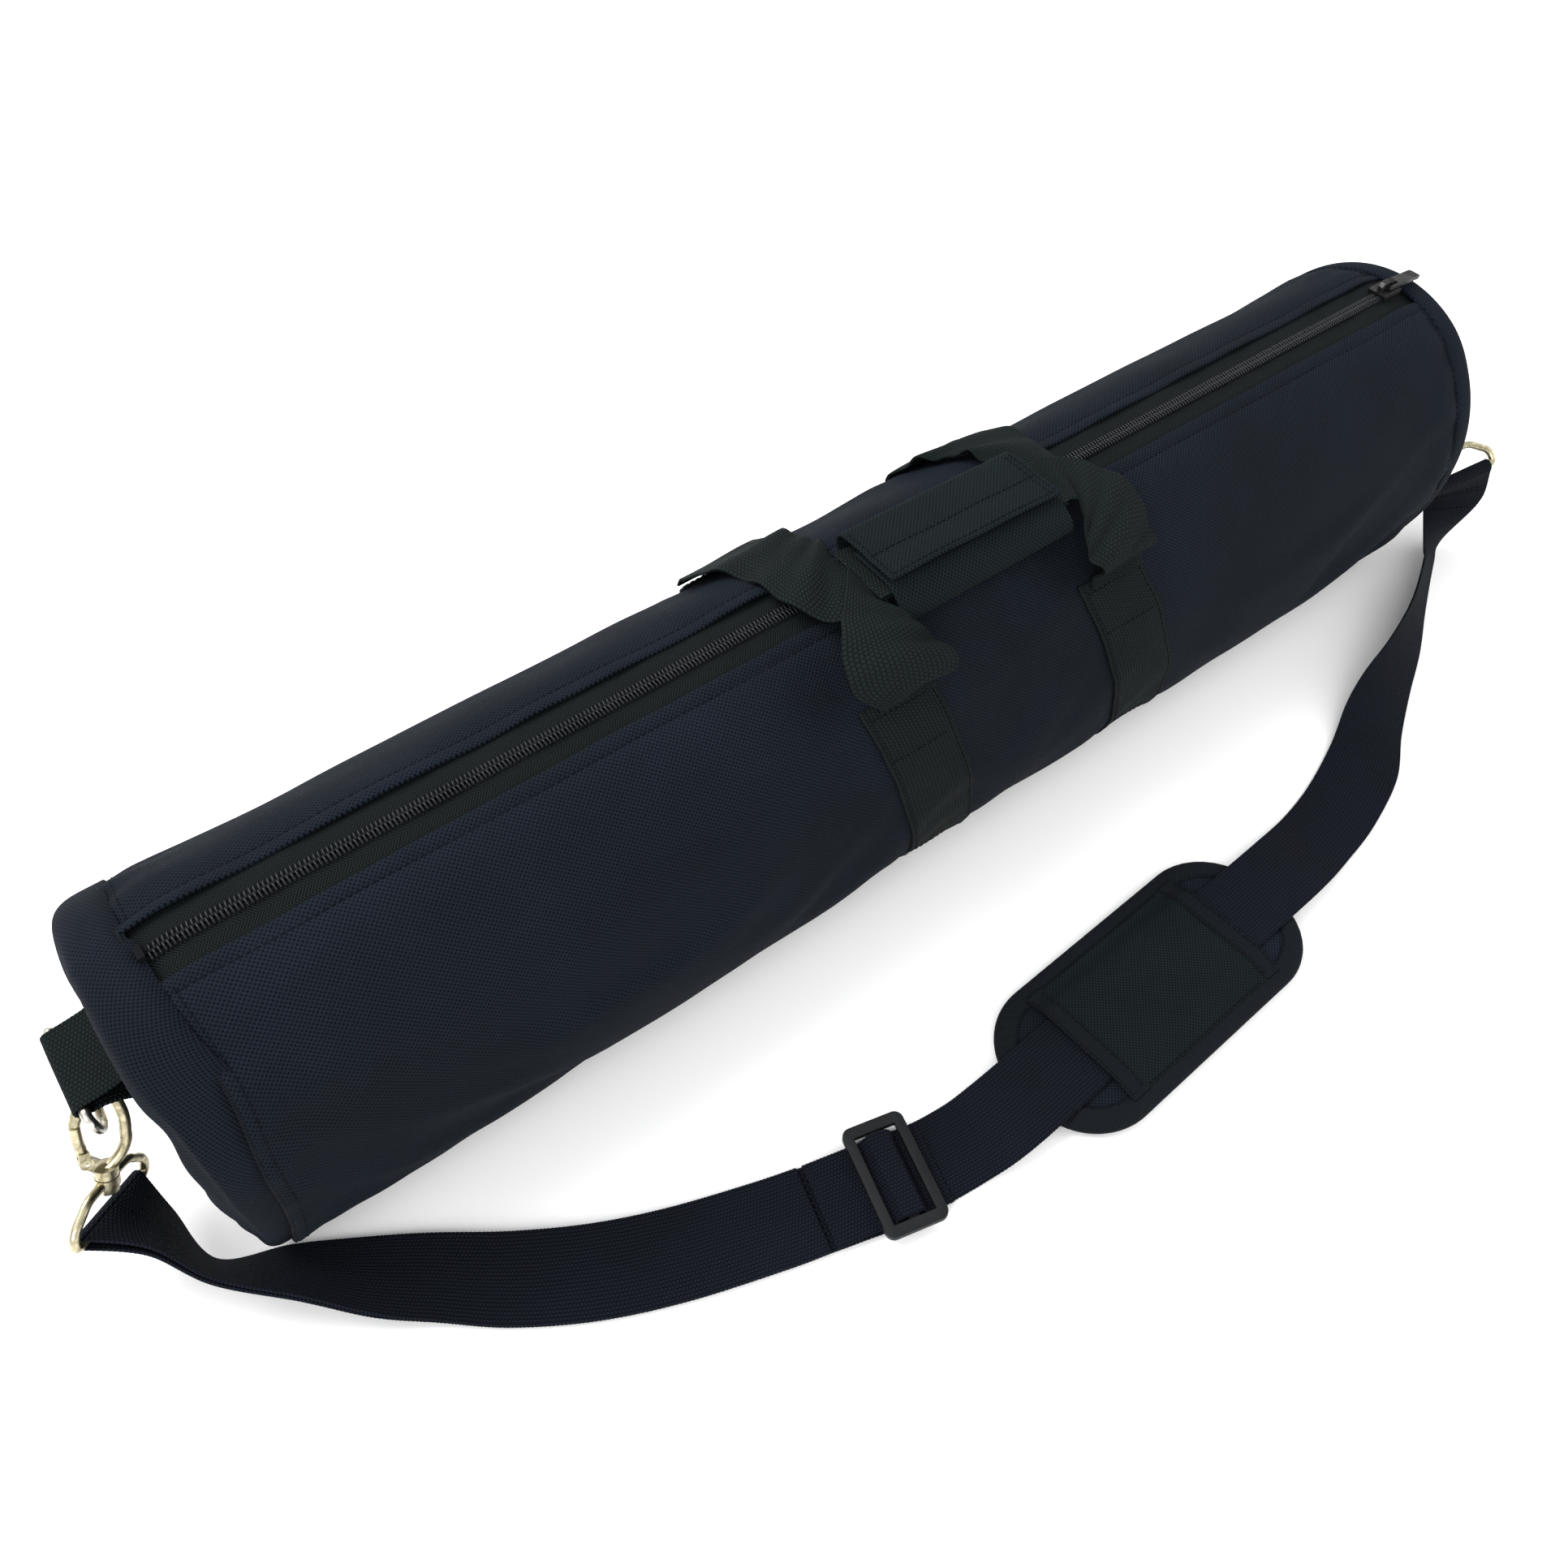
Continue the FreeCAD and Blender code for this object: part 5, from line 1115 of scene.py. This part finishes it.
# outward side of the wrap: the path runs round the rolls with its inside on the left
N = grid_normals(P)
top_row = N[-6, len(x) // 2]
if top_row[2] < 0:
    P, XX = P[:, ::-1], XX[:, ::-1]
v_, f_, w_ = slab_arrays(P, 0.75, -0.75, np.repeat(wl[:, None], len(x), 1), XX, round_u=0.8, round_v=0.8)
grip = make_mesh("grip_cover", v_, f_, w_)
give(grip, "oxford_green", "grip", "grip_fabric", ["grip_wrap"])
for name, node, zz in (("touch_loops", "grip_loop_strip", 10.0), ("touch_hooks", "grip_hook_strip", 11.15)):
    gx, gy = np.meshgrid(np.linspace(-44, 44, 60), np.linspace(-9, 9, 16), indexing="ij")
    P2 = GO + GX * gx[..., None] + GY * gy[..., None] + UP * zz
    v_, f_, w_ = slab_arrays(P2, 0.45, -0.45, gx, gy, round_u=0.4, round_v=0.4)
    ob = make_mesh(name, v_, f_, w_)
    give(ob, "touch", "grip", "touch_loop" if "loops" in name else "touch_hook", [node])
GRID_GRIP = P if top_row[2] >= 0 else P[:, ::-1]


def grip_line(wpos, xpos):
    """Point and normal on the top of the flap: wpos in mm back from its free edge, xpos along the grip."""
    wpos, xpos = np.broadcast_arrays(np.asarray(wpos, float), np.asarray(xpos, float))
    i = np.interp(wl[-1] - wpos, wl, np.arange(len(wl)))
    j = np.interp(xpos, x, np.arange(len(x)))
    i0, j0 = np.clip(i.astype(int), 0, len(wl) - 2), np.clip(j.astype(int), 0, len(x) - 2)
    p, q = (i - i0)[..., None], (j - j0)[..., None]
    g = GRID_GRIP
    c = g[i0, j0] * (1 - p) * (1 - q) + g[i0 + 1, j0] * p * (1 - q) + g[i0, j0 + 1] * (1 - p) * q + g[i0 + 1, j0 + 1] * p * q
    return c + UP * 0.78


runs = []
q = np.linspace(-43.5, 43.5, 90)
runs.append((grip_line(2.4, q), UP))
for xe in (-43.8, 43.8, 41.2):
    q = np.linspace(2.4, 32, 40)
    runs.append((grip_line(q, xe), UP))
q = np.linspace(-43.5, 43.5, 90)
runs.append((grip_line(15.5, q), UP))
stitches("grip_stitching", runs, "grip", pitch=3.0, length=2.3, radius=0.27)

# ------------------------------------------------------------------ end tabs
for end, ax, yc in ((-1, 375.0, 8.0), (1, 379.0, -8.0)):
    path = [(354.77, 46), (354.77, 66), (354.77, 84), (356.4, 89.5), (360.8, 95.6), (ax - 7, 99.5), (ax - 1, 100.1), (ax + 2.1, 100.9), (ax + 2.9, 103), (ax + 2.1, 105.1), (ax - 1, 105.9), (ax - 8, 106.6), (360.3, 107.8), (356.7, 110.5), (354.9, 115.5), (354.77, 127)]
    c = smooth([(end * a, 0, z) for a, z in path], 10)
    A = c + np.array([0, yc + 18.5, 0])
    B = c + np.array([0, yc - 18.5, 0])
    if end > 0:
        A, B = B, A
    side = "left" if end < 0 else "right"
    ob, C = webbing("tab_" + side, A, B, 1.3, step=0.55, wobble=0.12, seed=3 + end)
    give(ob, "handle_web", "bag", "handle_webbing", [side + "_tab"])
    float(along(c)[-1]) * MM
    runs = []
    for z0, z1 in ((48.5, 80.0), (117.5, 125.0)):
        for yy in (-15.5, 15.5):
            zs = np.linspace(z0, z1, 30)
            runs.append((np.stack([np.full(30, end * 355.42), np.full(30, yc + yy), zs], 1), (end, 0, 0)))
        for zz in (z0, z1):
            ys = np.linspace(yc - 15.5, yc + 15.5, 30)
            runs.append((np.stack([np.full(30, end * 355.42), ys, np.full(30, zz)], 1), (end, 0, 0)))
    for sg in (-1, 1):
        t = np.linspace(0, 1, 40)
        runs.append((np.stack([np.full(40, end * 355.42), yc + sg * (-15.5 + 31 * t), 48.5 + 31.5 * t], 1), (end, 0, 0)))
    stitches("tab_stitching_" + side, runs, "bag", pitch=3.0, length=2.3, radius=0.26)

# ------------------------------------------------------------------ strap
TH = 1.25
F2, F1 = 2.1, 1.3
LEFT_M, LEFT_W = np.array([-392.961, -7.931, 31.811]), np.array([0.66357, 0.61052, -0.43237])
RIGHT_M, RIGHT_W = np.array([376.923, -62.225, 50.399]), np.array([0.89898, -0.31564, 0.30366])
PAD_C = np.array([20.0, -176.0, 0])
PAD_X = np.array([math.cos(0.06), math.sin(0.06), 0])
PAD_Y = np.array([-math.sin(0.06), math.cos(0.06), 0])


def over_pad(x, side):
    return tuple(PAD_C + PAD_X * x + UP * 8.55 + PAD_Y * (side * 19.0))


left_inner = [tuple(LEFT_M + LEFT_W * 19), (-378, -11, 12), (-372.5, -36, F2), (-345, -49, F2), (-321, -63, F2), (-299, -77, F2), (-271, -97, F2), (-243, -114, F2), (-214, -127.5, F2), (-181, -139.5, F2), (-162, -145.5, F2)]
left_outer = [tuple(LEFT_M - LEFT_W * 19), (-386.5, -35.5, 37), (-372, -58.5, 32.5), (-349, -80, 22), (-330.5, -98, 12), (-312, -112, 5), (-290, -130, F2), (-261, -148.5, F2), (-228.5, -163.5, F2), (-190, -177, F2), (-171.5, -182.5, F2)]
one_inner = [(-162, -145.5, F1), (-150, -149, F1), (-128, -155.5, F1), (-99, -160.5, F1)] + [over_pad(x, 1) for x in (-99, -50, 0, 50, 99)] + [(147, -147, F1 + .6), (174, -141, F1), (205, -130, F1 + .6), (228, -119, 9), (247, -113, 16), (272, -108, 22), (303, -98, 25), (335, -82, 25), (350, -73, 20), (372, -53, 27), tuple(RIGHT_M - RIGHT_W * 19)]
one_outer = [(-171.5, -182.5, F1), (-160, -186, F1), (-135, -193, F1), (-101, -198, F1)] + [over_pad(x, -1) for x in (-99, -50, 0, 50, 99)] + [(151, -184, F1 + .6), (180, -178, F1), (214, -166, F1), (240, -149, F1 + .2), (268, -133, F1 + .2), (298, -117, F1 + .2), (330, -97, F1 + .2), (366, -76, F1 + .2), (384, -67, 3.5), (400, -71.5, 29), tuple(RIGHT_M + RIGHT_W * 19)]
K = 12
LI, LO = smooth(left_inner, K), smooth(left_outer, K)
n = len(LI)
st = np.arange(n) / K
spread = 0.8 + 2.2 * np.clip(1 - st / 2.0, 0, 1) ** 2
lengths = along((LI + LO) / 2)
for name, node, sg in (("strap_under", "strap_lower_layer", -1), ("strap_over", "strap_upper_layer", 1)):
    ob, C = webbing(name, LI, LO, TH, lift=even_lift(LI, LO, sg * spread), step=0.55)
    give(ob, "strap_web", body_name(node), "strap_webbing", [node])
RI, RO = smooth(one_inner, K), smooth(one_outer, K)
n = len(RI)
left_over = (n - 1 - np.arange(n)) / K
lr = 3.0 * np.clip(1 - left_over, 0, 1)
length_r = along((RI + RO) / 2)
ob, C_RUN = webbing("strap_run", RI, RO, TH, lift=even_lift(RI, RO, lr), step=0.55)
give(ob, "strap_web", body_name("strap_long_run"), "strap_webbing", ["strap_long_run"])
ea, eb = RI[n - 1 - K:], RO[n - 1 - K:]
fe = np.linspace(0, 1, len(ea))
ob, C_END = webbing("strap_end", ea, eb, TH, lift=even_lift(ea, eb, -1.55 + (-3.0 + 1.55) * fe), step=0.55)
give(ob, "strap_web", body_name("strap_sewn_end"), "strap_webbing", ["strap_sewn_end"])
float(along((ea + eb) / 2)[-1]) * MM

for name, node, M, W, toward in (("strap_loop_left", "strap_left_bend", LEFT_M, LEFT_W, (LI[K] + LO[K]) / 2), ("strap_loop_right", "strap_right_bend", RIGHT_M, RIGHT_W, (RI[-1 - K] + RO[-1 - K]) / 2)):
    d = toward - M
    S = unit(d - W * d.dot(W))
    Nn = unit(np.cross(W, S))
    a = np.linspace(0, math.pi, 40)
    path = np.array([M - S * (3.0 * math.sin(t)) + Nn * (3.0 * math.cos(t)) for t in a])
    A, B = path - W * 19, path + W * 19
    ob, C = webbing(name, A, B, TH, step=0.4)
    give(ob, "strap_web", body_name(node), "strap_webbing", [node])

# stitching: lines across the sewn end
runs = []
for d in (7.0, 10.0, 22.0):
    s = along((RI + RO) / 2)
    at = s[-1] - 6 - d
    ia = np.array([np.interp(at, s, RI[:, k]) for k in range(3)])
    oa = np.array([np.interp(at, s, RO[:, k]) for k in range(3)])
    t = np.linspace(0.07, 0.93, 40)[:, None]
    line = ia * (1 - t) + oa * t
    i = int(np.searchsorted(s, at))
    T = unit((RI[i] + RO[i] - RI[i - 2] - RO[i - 2]) / 2)
    nn = unit(np.cross(unit(oa - ia), T))
    lf = float(np.interp(at, s, lr))
    runs.append((line + nn * (lf + 0.64), nn))
stitches("strap_end_stitching", runs, body_name("strap_long_run"), pitch=2.9, length=2.3, radius=0.27)

# ------------------------------------------------------------------ buckle and the turn over its bar
BT = unit(np.array([0.968, -0.25, 0]))
BN = np.array([-BT[1], BT[0], 0])
BC = np.array([-132.0, -173.5, 0])
turn = smooth([(a, 0, b) for a, b in [(-34, 4.4), (-20, 4.4), (-9, 4.42), (-7.2, 5.15), (-4.6, 7.9), (-3.4, 8.5), (3.4, 8.5), (4.6, 7.9), (7, 3.95), (9, 2.9), (19, 2.85)]], 10)
mid = BC + BT * turn[:, 0:1] + UP * turn[:, 2:3]
ob, C = webbing("strap_turn", mid + BN * 19, mid - BN * 19, TH, step=0.4, scallop=0.25)
give(ob, "strap_web", body_name("strap_buckle_turn"), "strap_webbing", ["strap_buckle_turn"])
float(along(mid)[-1]) * MM
src = frame["nodes"]["strap_buckle"]
me = src.data.copy()
me.transform(src.matrix_world)
ob = bpy.data.objects.new("buckle_frame", me)
scene.collection.objects.link(ob)
m = ob.modifiers.new("weld", "WELD")
m.merge_threshold = 1e-5
m = ob.modifiers.new("plan", "DECIMATE")
m.decimate_type = "DISSOLVE"
m.angle_limit = math.radians(2)
m = ob.modifiers.new("soft_edges", "BEVEL")
m.width = 0.7 * MM
m.segments = 4
m.angle_limit = math.radians(40)
m.use_clamp_overlap = True
m = ob.modifiers.new("tri", "TRIANGULATE")
dg = bpy.context.evaluated_depsgraph_get()
me2 = bpy.data.meshes.new_from_object(ob.evaluated_get(dg))
ob.modifiers.clear()
ob.data = me2
me2.polygons.foreach_set("use_smooth", np.ones(len(me2.polygons), bool))
try:
    me2.set_sharp_from_angle(angle=math.radians(38))
except Exception:
    pass
give(ob, "buckle", body_name("strap_buckle"), "buckle_plastic", ["strap_buckle"])

# ------------------------------------------------------------------ shoulder pad
PX, PY, PR = 84.0, 39.0, 34.0


def pad_outline(inset, count=420):
    """Even points round the rounded rectangle, counter-clockwise from its +x side."""
    hx, hy, r = PX - inset, PY - inset, max(PR - inset, 1.0)
    pts = []
    for cx, cy, a0 in ((hx - r, hy - r, 0), (-hx + r, hy - r, 90), (-hx + r, -hy + r, 180), (hx - r, -hy + r, 270)):
        for k in range(40):
            a = math.radians(a0 + 90 * k / 39)
            pts.append((cx + r * math.cos(a), cy + r * math.sin(a)))
    pts.append(pts[0])
    p = np.array(pts)
    s = along(p)
    at = np.linspace(0, s[-1], count, endpoint=False)
    return np.stack([np.interp(at, s, p[:, 0]), np.interp(at, s, p[:, 1])], 1), at


def pad_world(x, y, z):
    return PAD_C + PAD_X * np.asarray(x)[..., None] + PAD_Y * np.asarray(y)[..., None] + UP * np.asarray(z)[..., None]


rows = []
for inset in (1.6, 2.4, 3.6, 5.2, 7, 9, 10.5, 12, 14, 17, 20, 24, 28, 32):
    rows.append(pad_outline(inset)[0])
core = rows[-1]
for k in (0.8, 0.6, 0.4, 0.2, 0.02):
    rows.append(core * np.array([0.35 + 0.65 * k if k > 0.1 else 0.02, k]))
G = np.stack(rows, 1)
ins = np.array([1.6, 2.4, 3.6, 5.2, 7, 9, 10.5, 12, 14, 17, 20, 24, 28, 32, 34, 35, 36, 37, 38])[None, :] * np.ones((len(G), 1))
top = 6.4 + 0.75 * step01(ins, 9, 16) - 1.2 * (1 - step01(ins, 1.5, 5.5)) + 0.14 * waves(G[..., 0], G[..., 1], 8, 8, (24, 90), (20, 60))
top = np.minimum(top, 7.25)
bot = 0.35 + 1.4 * (1 - step01(ins, 1.5, 4.5))
P = pad_world(G[..., 0], G[..., 1], top)
N = np.broadcast_to(UP, P.shape).copy()
v_, f_, w_ = slab_arrays(P, np.zeros_like(top), bot - top, G[..., 0], G[..., 1], N=N, closed_u=True)
ob = make_mesh("pad_cover", v_, f_, w_)
give(ob, "oxford", "pad", "pad_fabric", ["pad_foam", "pad_bottom_cover", "pad_top_cover"])

# binding tape folded round the pad's edge
edge0, at0 = pad_outline(0.0, 760)
sec = [(10.6, 7.05), (9.5, 7.12), (6.5, 7.0), (4.0, 6.75), (2.0, 6.2), (0.8, 5.2), (0.42, 3.8), (0.8, 2.2), (2.0, 1.0), (4.0, 0.62), (7.0, 0.55), (10.2, 0.55)]
sec = respace(smooth([(a, 0, b) for a, b in sec], 6), 0.9)
cols = []
for a, _, b in sec:
    o, _ = pad_outline(a, 760)
    pucker = 0.12 * np.sin(2 * math.pi * at0 / 5.2 + 0.7 * np.sin(at0 / 31.0)) * math.exp(-((a - 5) / 5.0) ** 2) * (1 if b > 3.5 else 0.2)
    cols.append(np.stack([o[:, 0], o[:, 1], b + pucker], 1))
G = np.stack(cols, 1)
P = pad_world(G[..., 0], G[..., 1], G[..., 2])
N = grid_normals(P, True)
if N[0, 3][2] < 0:
    P, G = P[:, ::-1], G[:, ::-1]
V = along(sec)[None, :] * np.ones((len(P), 1))
v_, f_, w_ = slab_arrays(P, 0.34, -0.34, at0[:, None] * np.ones((1, len(sec))), V, round_v=0.5, closed_u=True)
ob = make_mesh("pad_edging", v_, f_, w_)
give(ob, "binding", "pad", "pad_trim", ["pad_binding"])
float(along(sec)[-1]) * MM

# panel over the strap
py = np.array([-32.0, -31.2, -30, -28, -26, -24, -22.5, -21, -19, -16, -10, 0, 10, 16, 19, 21, 22.5, 24, 26, 28, 30, 31.2, 32.0])
sy = respace(np.stack([py, 0 * py, 7.65 + 2.42 * step01(-np.abs(py), -28.5, -20.5)], 1), 1.1)
px = (edge_spread(101.0, 1.7, 0.8) - 0.5) * 101.0
XX, YY = np.meshgrid(px, sy[:, 0], indexing="ij")
ZZ = np.repeat(sy[:, 2][None, :], len(px), 0) + 0.22 * waves(XX, YY, 15, 8, (28, 110), (20, 70)) * step01(-np.abs(YY), -29, -24)
P = pad_world(XX, YY, ZZ)
U2 = XX * 1.0
V2 = np.repeat(along(sy)[None, :], len(px), 0)
v_, f_, w_ = slab_arrays(P, 0.42, -0.42, U2, V2, round_u=0.5, round_v=0.5)
ob = make_mesh("pad_panel", v_, f_, w_)
give(ob, "oxford_green", "pad", "pad_fabric", ["pad_pocket_panel"])
float(along(sy)[-1]) * MM
runs = []
for name, node, sg in (("pad_tape_left", "pad_band_left", -1), ("pad_tape_right", "pad_band_right", 1)):
    c = sy.copy()
    c[:, 2] += 0.78
    x_in, x_out = sg * 41.5, sg * 50.9
    A = pad_world(np.full(len(c), min(x_in, x_out)), c[:, 0], c[:, 2])
    B = pad_world(np.full(len(c), max(x_in, x_out)), c[:, 0], c[:, 2])
    ob, C = webbing(name, B, A, 0.65, step=0.6, cross=0.9, scallop=0.1, thin_edge=0.35)
    give(ob, "binding", "pad", "pad_trim", [node])
    float(along(c)[-1]) * MM
    for xx in (x_in + sg * 1.2, x_out - sg * 1.2):
        k = slice(2, len(c) - 2)
        runs.append((pad_world(np.full(len(c), xx), c[:, 0], c[:, 2] + 0.34)[k], UP))
for yy in (-30.9, 30.9):
    q = np.linspace(-40, 40, 90)
    runs.append((pad_world(q, np.full(90, yy), np.full(90, 8.1)), UP))
o, _ = pad_outline(9.6, 500)
o = np.concatenate([o, o[:1]])
keep_ = np.abs(o[:, 0]) > 50
for s0 in (0, 1):
    side_pts = o[keep_ & ((o[:, 0] > 0) if s0 else (o[:, 0] < 0))]
    order = np.argsort(np.arctan2(side_pts[:, 1], side_pts[:, 0] * (1 if s0 else -1)))
    side_pts = side_pts[order]
    runs.append((pad_world(side_pts[:, 0], side_pts[:, 1], np.full(len(side_pts), 7.42)), UP))
stitches("pad_stitching", runs, "pad", pitch=2.9, length=2.3, radius=0.26)

# ------------------------------------------------------------------ metal and plastic parts kept from the frame
for node, mat in (("zip_start_stop", "thread"), ("zip_end_stop", "thread"), ("zip_slider_body", "dark_metal"), ("zip_pull", "dark_metal"), ("left_ring", "nickel"), ("right_ring", "nickel"), ("left_bail", "brass"), ("right_bail", "brass"), ("left_hook", "brass"), ("right_hook", "brass"), ("left_gate", "brass"), ("right_gate", "brass"), ("left_gate_pin", "nickel"), ("right_gate_pin", "nickel")):
    repaint(node, mat)

# ------------------------------------------------------------------ floor, world and lights
me = bpy.data.meshes.new("floor")
me.from_pydata([(-6, -6, -0.0004), (6, -6, -0.0004), (6, 6, -0.0004), (-6, 6, -0.0004)], [], [(0, 1, 2, 3)])
floor = bpy.data.objects.new("floor", me)
scene.collection.objects.link(floor)
m, nt, b = nodes_of("floor_white")
b.inputs["Base Color"].default_value = (0.93, 0.93, 0.93, 1)
b.inputs["Roughness"].default_value = 0.9
b.inputs["Specular IOR Level"].default_value = 0.1
me.materials.append(m)
world = bpy.data.worlds.new("studio")
world.use_nodes = True
world.node_tree.nodes["Background"].inputs[0].default_value = (1.0, 1.0, 1.0, 1)
world.node_tree.nodes["Background"].inputs[1].default_value = 0.85
scene.world = world


def area(name, where, at, size, power, tint=(1, 1, 1)):
    d = bpy.data.lights.new(name, "AREA")
    d.shape = "RECTANGLE"
    d.size, d.size_y = size
    d.energy = power
    d.color = tint
    o = bpy.data.objects.new(name, d)
    o.location = where
    o.rotation_euler = (Vector(at) - Vector(where)).to_track_quat("-Z", "Y").to_euler()
    scene.collection.objects.link(o)
    return o


area("key", (-0.5, 0.9, 1.5), (0.0, 0.0, 0.05), (1.6, 1.2), 42.0)
area("fill", (-1.3, -1.1, 1.3), (0.0, -0.05, 0.05), (1.6, 1.6), 26.0)
area("side", (1.4, -0.8, 0.9), (0.1, 0.0, 0.05), (1.2, 1.2), 12.0)
scene.view_settings.view_transform = "Standard"
scene.view_settings.look = "None"
